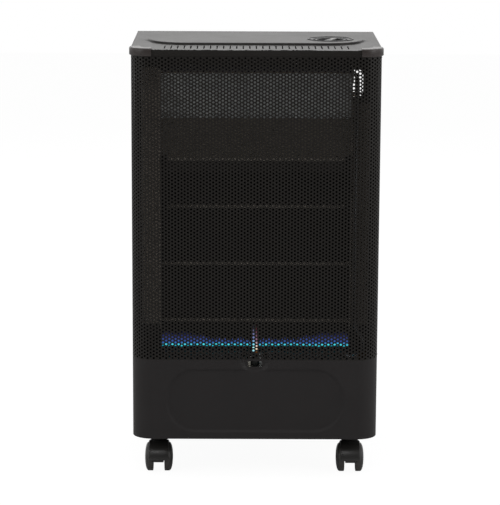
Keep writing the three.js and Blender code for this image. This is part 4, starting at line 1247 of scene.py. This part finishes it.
# %% Finishes for the CAD parts
parts_in = {
    "cabinet_black": "base_tray front_panel side_panel_left side_panel_right rear_cover",
    "top_black": "top_cover",
    "cap_plastic": "corner_cap_left corner_cap_right",
    "knob_plastic": "knob_bezel control_knob piezo_igniter",
    "black_enamel": "partition_panel chamber_hood",
    "sooted_enamel": "chamber_back_plate",
    # One enamel in two tones: painted light on the left chamber wall, painted shade on the right.
    "painted_light_enamel": "chamber_side_left",
    "painted_shade_enamel": "chamber_side_right",
    "galvanised": "rear_crossbar burner_bracket_left burner_bracket_right air_mixer burner_guard valve_bracket",
    "bright_zinc": "heat_deflector thermocouple",
    "heat_tinted_steel": "burner_tube",
    "cast_iron": "pilot_burner",
    "stainless": "pilot_bracket electrode_rod",
    "glazed_ceramic": "electrode_ceramic",
    "pipe_aluminium": "gas_pipe pilot_pipe",
    "valve_aluminium": "gas_valve",
    "brass": "gas_injector thermocouple_lead valve_plunger valve_spindle hose_nozzle",
    "lead_sleeve": "ignition_lead",
}
node_finish = {name: finish for finish, names in parts_in.items() for name in names.split()}
for name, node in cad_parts.items():
    if name.startswith("caster"):
        kind = name.split("_", 3)[3]
        finish = {"stem": "galvanised", "housing": "caster_plastic", "axle": "stainless"}.get(kind, "wheel_tread")
    else:
        finish = node_finish[name]
    node.data.materials.clear()
    node.data.materials.append(finishes[finish])
print(len(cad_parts), "CAD parts have their finish")

# %% [markdown]
# Where the enamelled sheet is folded, the folds, the hood's lip and the walls' front edges get a pale enamel:
# a painted highlight for the light they catch. The hood is straw-coloured above its lip. In edit mode those
# faces would be picked by hand; here they are picked by where they are and which way they face.

# %% Pick out the folds and the hood's slope
def repaint(name, finish, chosen):
    """Gives the faces for which chosen(centre, normal) holds, in millimetres, another finish."""
    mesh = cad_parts[name].data
    mesh.materials.append(finishes[finish])
    picked = [face for face in mesh.polygons if chosen(face.center / mm, face.normal)]
    for face in picked:
        face.material_index = len(mesh.materials) - 1
    print(name + ":", len(picked), "faces in", finish)


repaint("chamber_back_plate", "painted_edge_highlight", lambda c, normal: normal.z > 0.25 and normal.y < -0.2 and c.z > 250)
repaint("chamber_hood", "straw_steel", lambda c, normal: c.z > 549)
repaint("chamber_hood", "painted_edge_highlight", lambda c, normal: 546 < c.z < 550.5 and normal.y < 0)
for _, word in both_sides:
    wall = "chamber_side_" + word
    repaint(wall, "sooted_enamel", lambda c, normal: normal.y < -0.9 and abs(c.x) < 161)
    repaint(wall, "painted_edge_highlight", lambda c, normal: normal.y < -0.9 and 161 < abs(c.x) < 164)

# %% [markdown]
# ## The studio
# The cabinet stands on a white floor in a white room. Large soft lamps at both sides, above and
# behind light it evenly, and a smaller one in front draws the thin light lines on the casters
# and the pressings. The room behind it is white in its gloss too, which is what brightens the
# top; the side of the room where the camera stands is dim, so the front stays deep black. The
# floor glows only for the camera and through glass, and so lights nothing from below.

# %% Floor
deselect_all()
bpy.ops.mesh.primitive_plane_add(size=14, location=(0, 0, 0))
floor = bpy.context.object
floor.name = "studio_floor"
floor_finish = bpy.data.materials.new("studio_floor")
floor_finish.use_nodes = True
tree = floor_finish.node_tree
lit = tree.nodes["Principled BSDF"]
lit.inputs["Roughness"].default_value = 0.9
lit.inputs["Specular IOR Level"].default_value = 0.0
mottled = noise(tree, placed(tree), 3.0)
tree.links.new(mixed(tree, mottled, srgb("cfcfcf"), srgb("d3d3d3")), lit.inputs["Base Color"])
glow = add(tree, "Emission", Color=(1, 1, 1, 1), Strength=1.08)
rays = add(tree, "LightPath").outputs
seen = math_node(tree, "MAXIMUM", rays["Is Camera Ray"], rays["Is Transmission Ray"])
share = add(tree, "MixShader", Fac=math_node(tree, "MULTIPLY", seen, 0.88))
tree.links.new(lit.outputs[0], share.inputs[1])
tree.links.new(glow.outputs[0], share.inputs[2])
tree.links.new(share.outputs[0], tree.nodes["Material Output"].inputs["Surface"])
floor.data.materials.append(floor_finish)

# %% Room
world = bpy.data.worlds.new("white_room")
bpy.context.scene.world = world
world.use_nodes = True
tree = world.node_tree
room = tree.nodes["Background"]
rays = add(tree, "LightPath").outputs
across = add(tree, "SeparateXYZ", Vector=add(tree, "TexCoord").outputs["Generated"]).outputs["Y"]
rear_share = add(
    tree, "MapRange", {"interpolation_type": "SMOOTHSTEP"},
    Value=across, From_Min=-0.35, From_Max=0.35, To_Min=0.12, To_Max=1.0,
).outputs[0]
plain = math_node(tree, "MAXIMUM", rays["Is Camera Ray"], rays["Is Transmission Ray"])
glossy = math_node(tree, "MULTIPLY", rays["Is Glossy Ray"], rear_share)
strength = math_node(tree, "MAXIMUM", plain, glossy)
other = math_node(tree, "SUBTRACT", 1.0, math_node(tree, "MAXIMUM", plain, rays["Is Glossy Ray"]))
tree.links.new(math_node(tree, "ADD", strength, math_node(tree, "MULTIPLY", other, 0.45)), room.inputs["Strength"])
room.inputs["Color"].default_value = (1, 1, 1, 1)


# %% Lamps
def lamp(name, place, aim, power, width, height):
    data = bpy.data.lights.new(name, "AREA")
    data.shape, data.size, data.size_y, data.energy = "RECTANGLE", width, height, power
    light = bpy.data.objects.new(name, data)
    bpy.context.scene.collection.objects.link(light)
    light.location = place
    light.rotation_euler = (Vector(aim) - Vector(place)).to_track_quat("-Z", "Y").to_euler()


lamp("soft_left", (-2.4, -1.2, 1.4), (0, 0, 0.4), 24, 1.6, 1.8)
lamp("soft_right", (2.4, -1.2, 1.4), (0, 0, 0.4), 31, 1.6, 1.8)
lamp("soft_above", (0, 0.2, 3.0), (0, 0, 0.5), 30, 2.4, 2.0)
lamp("soft_front", (-0.5, -2.6, 2.5), (0, -0.2, 0.4), 15, 1.6, 0.7)
lamp("soft_behind", (0, 3.0, 2.4), (0, 0, 0.6), 25, 2.6, 1.4)
bpy.context.scene.view_settings.view_transform = "Standard"
print("floor, room and five lamps")
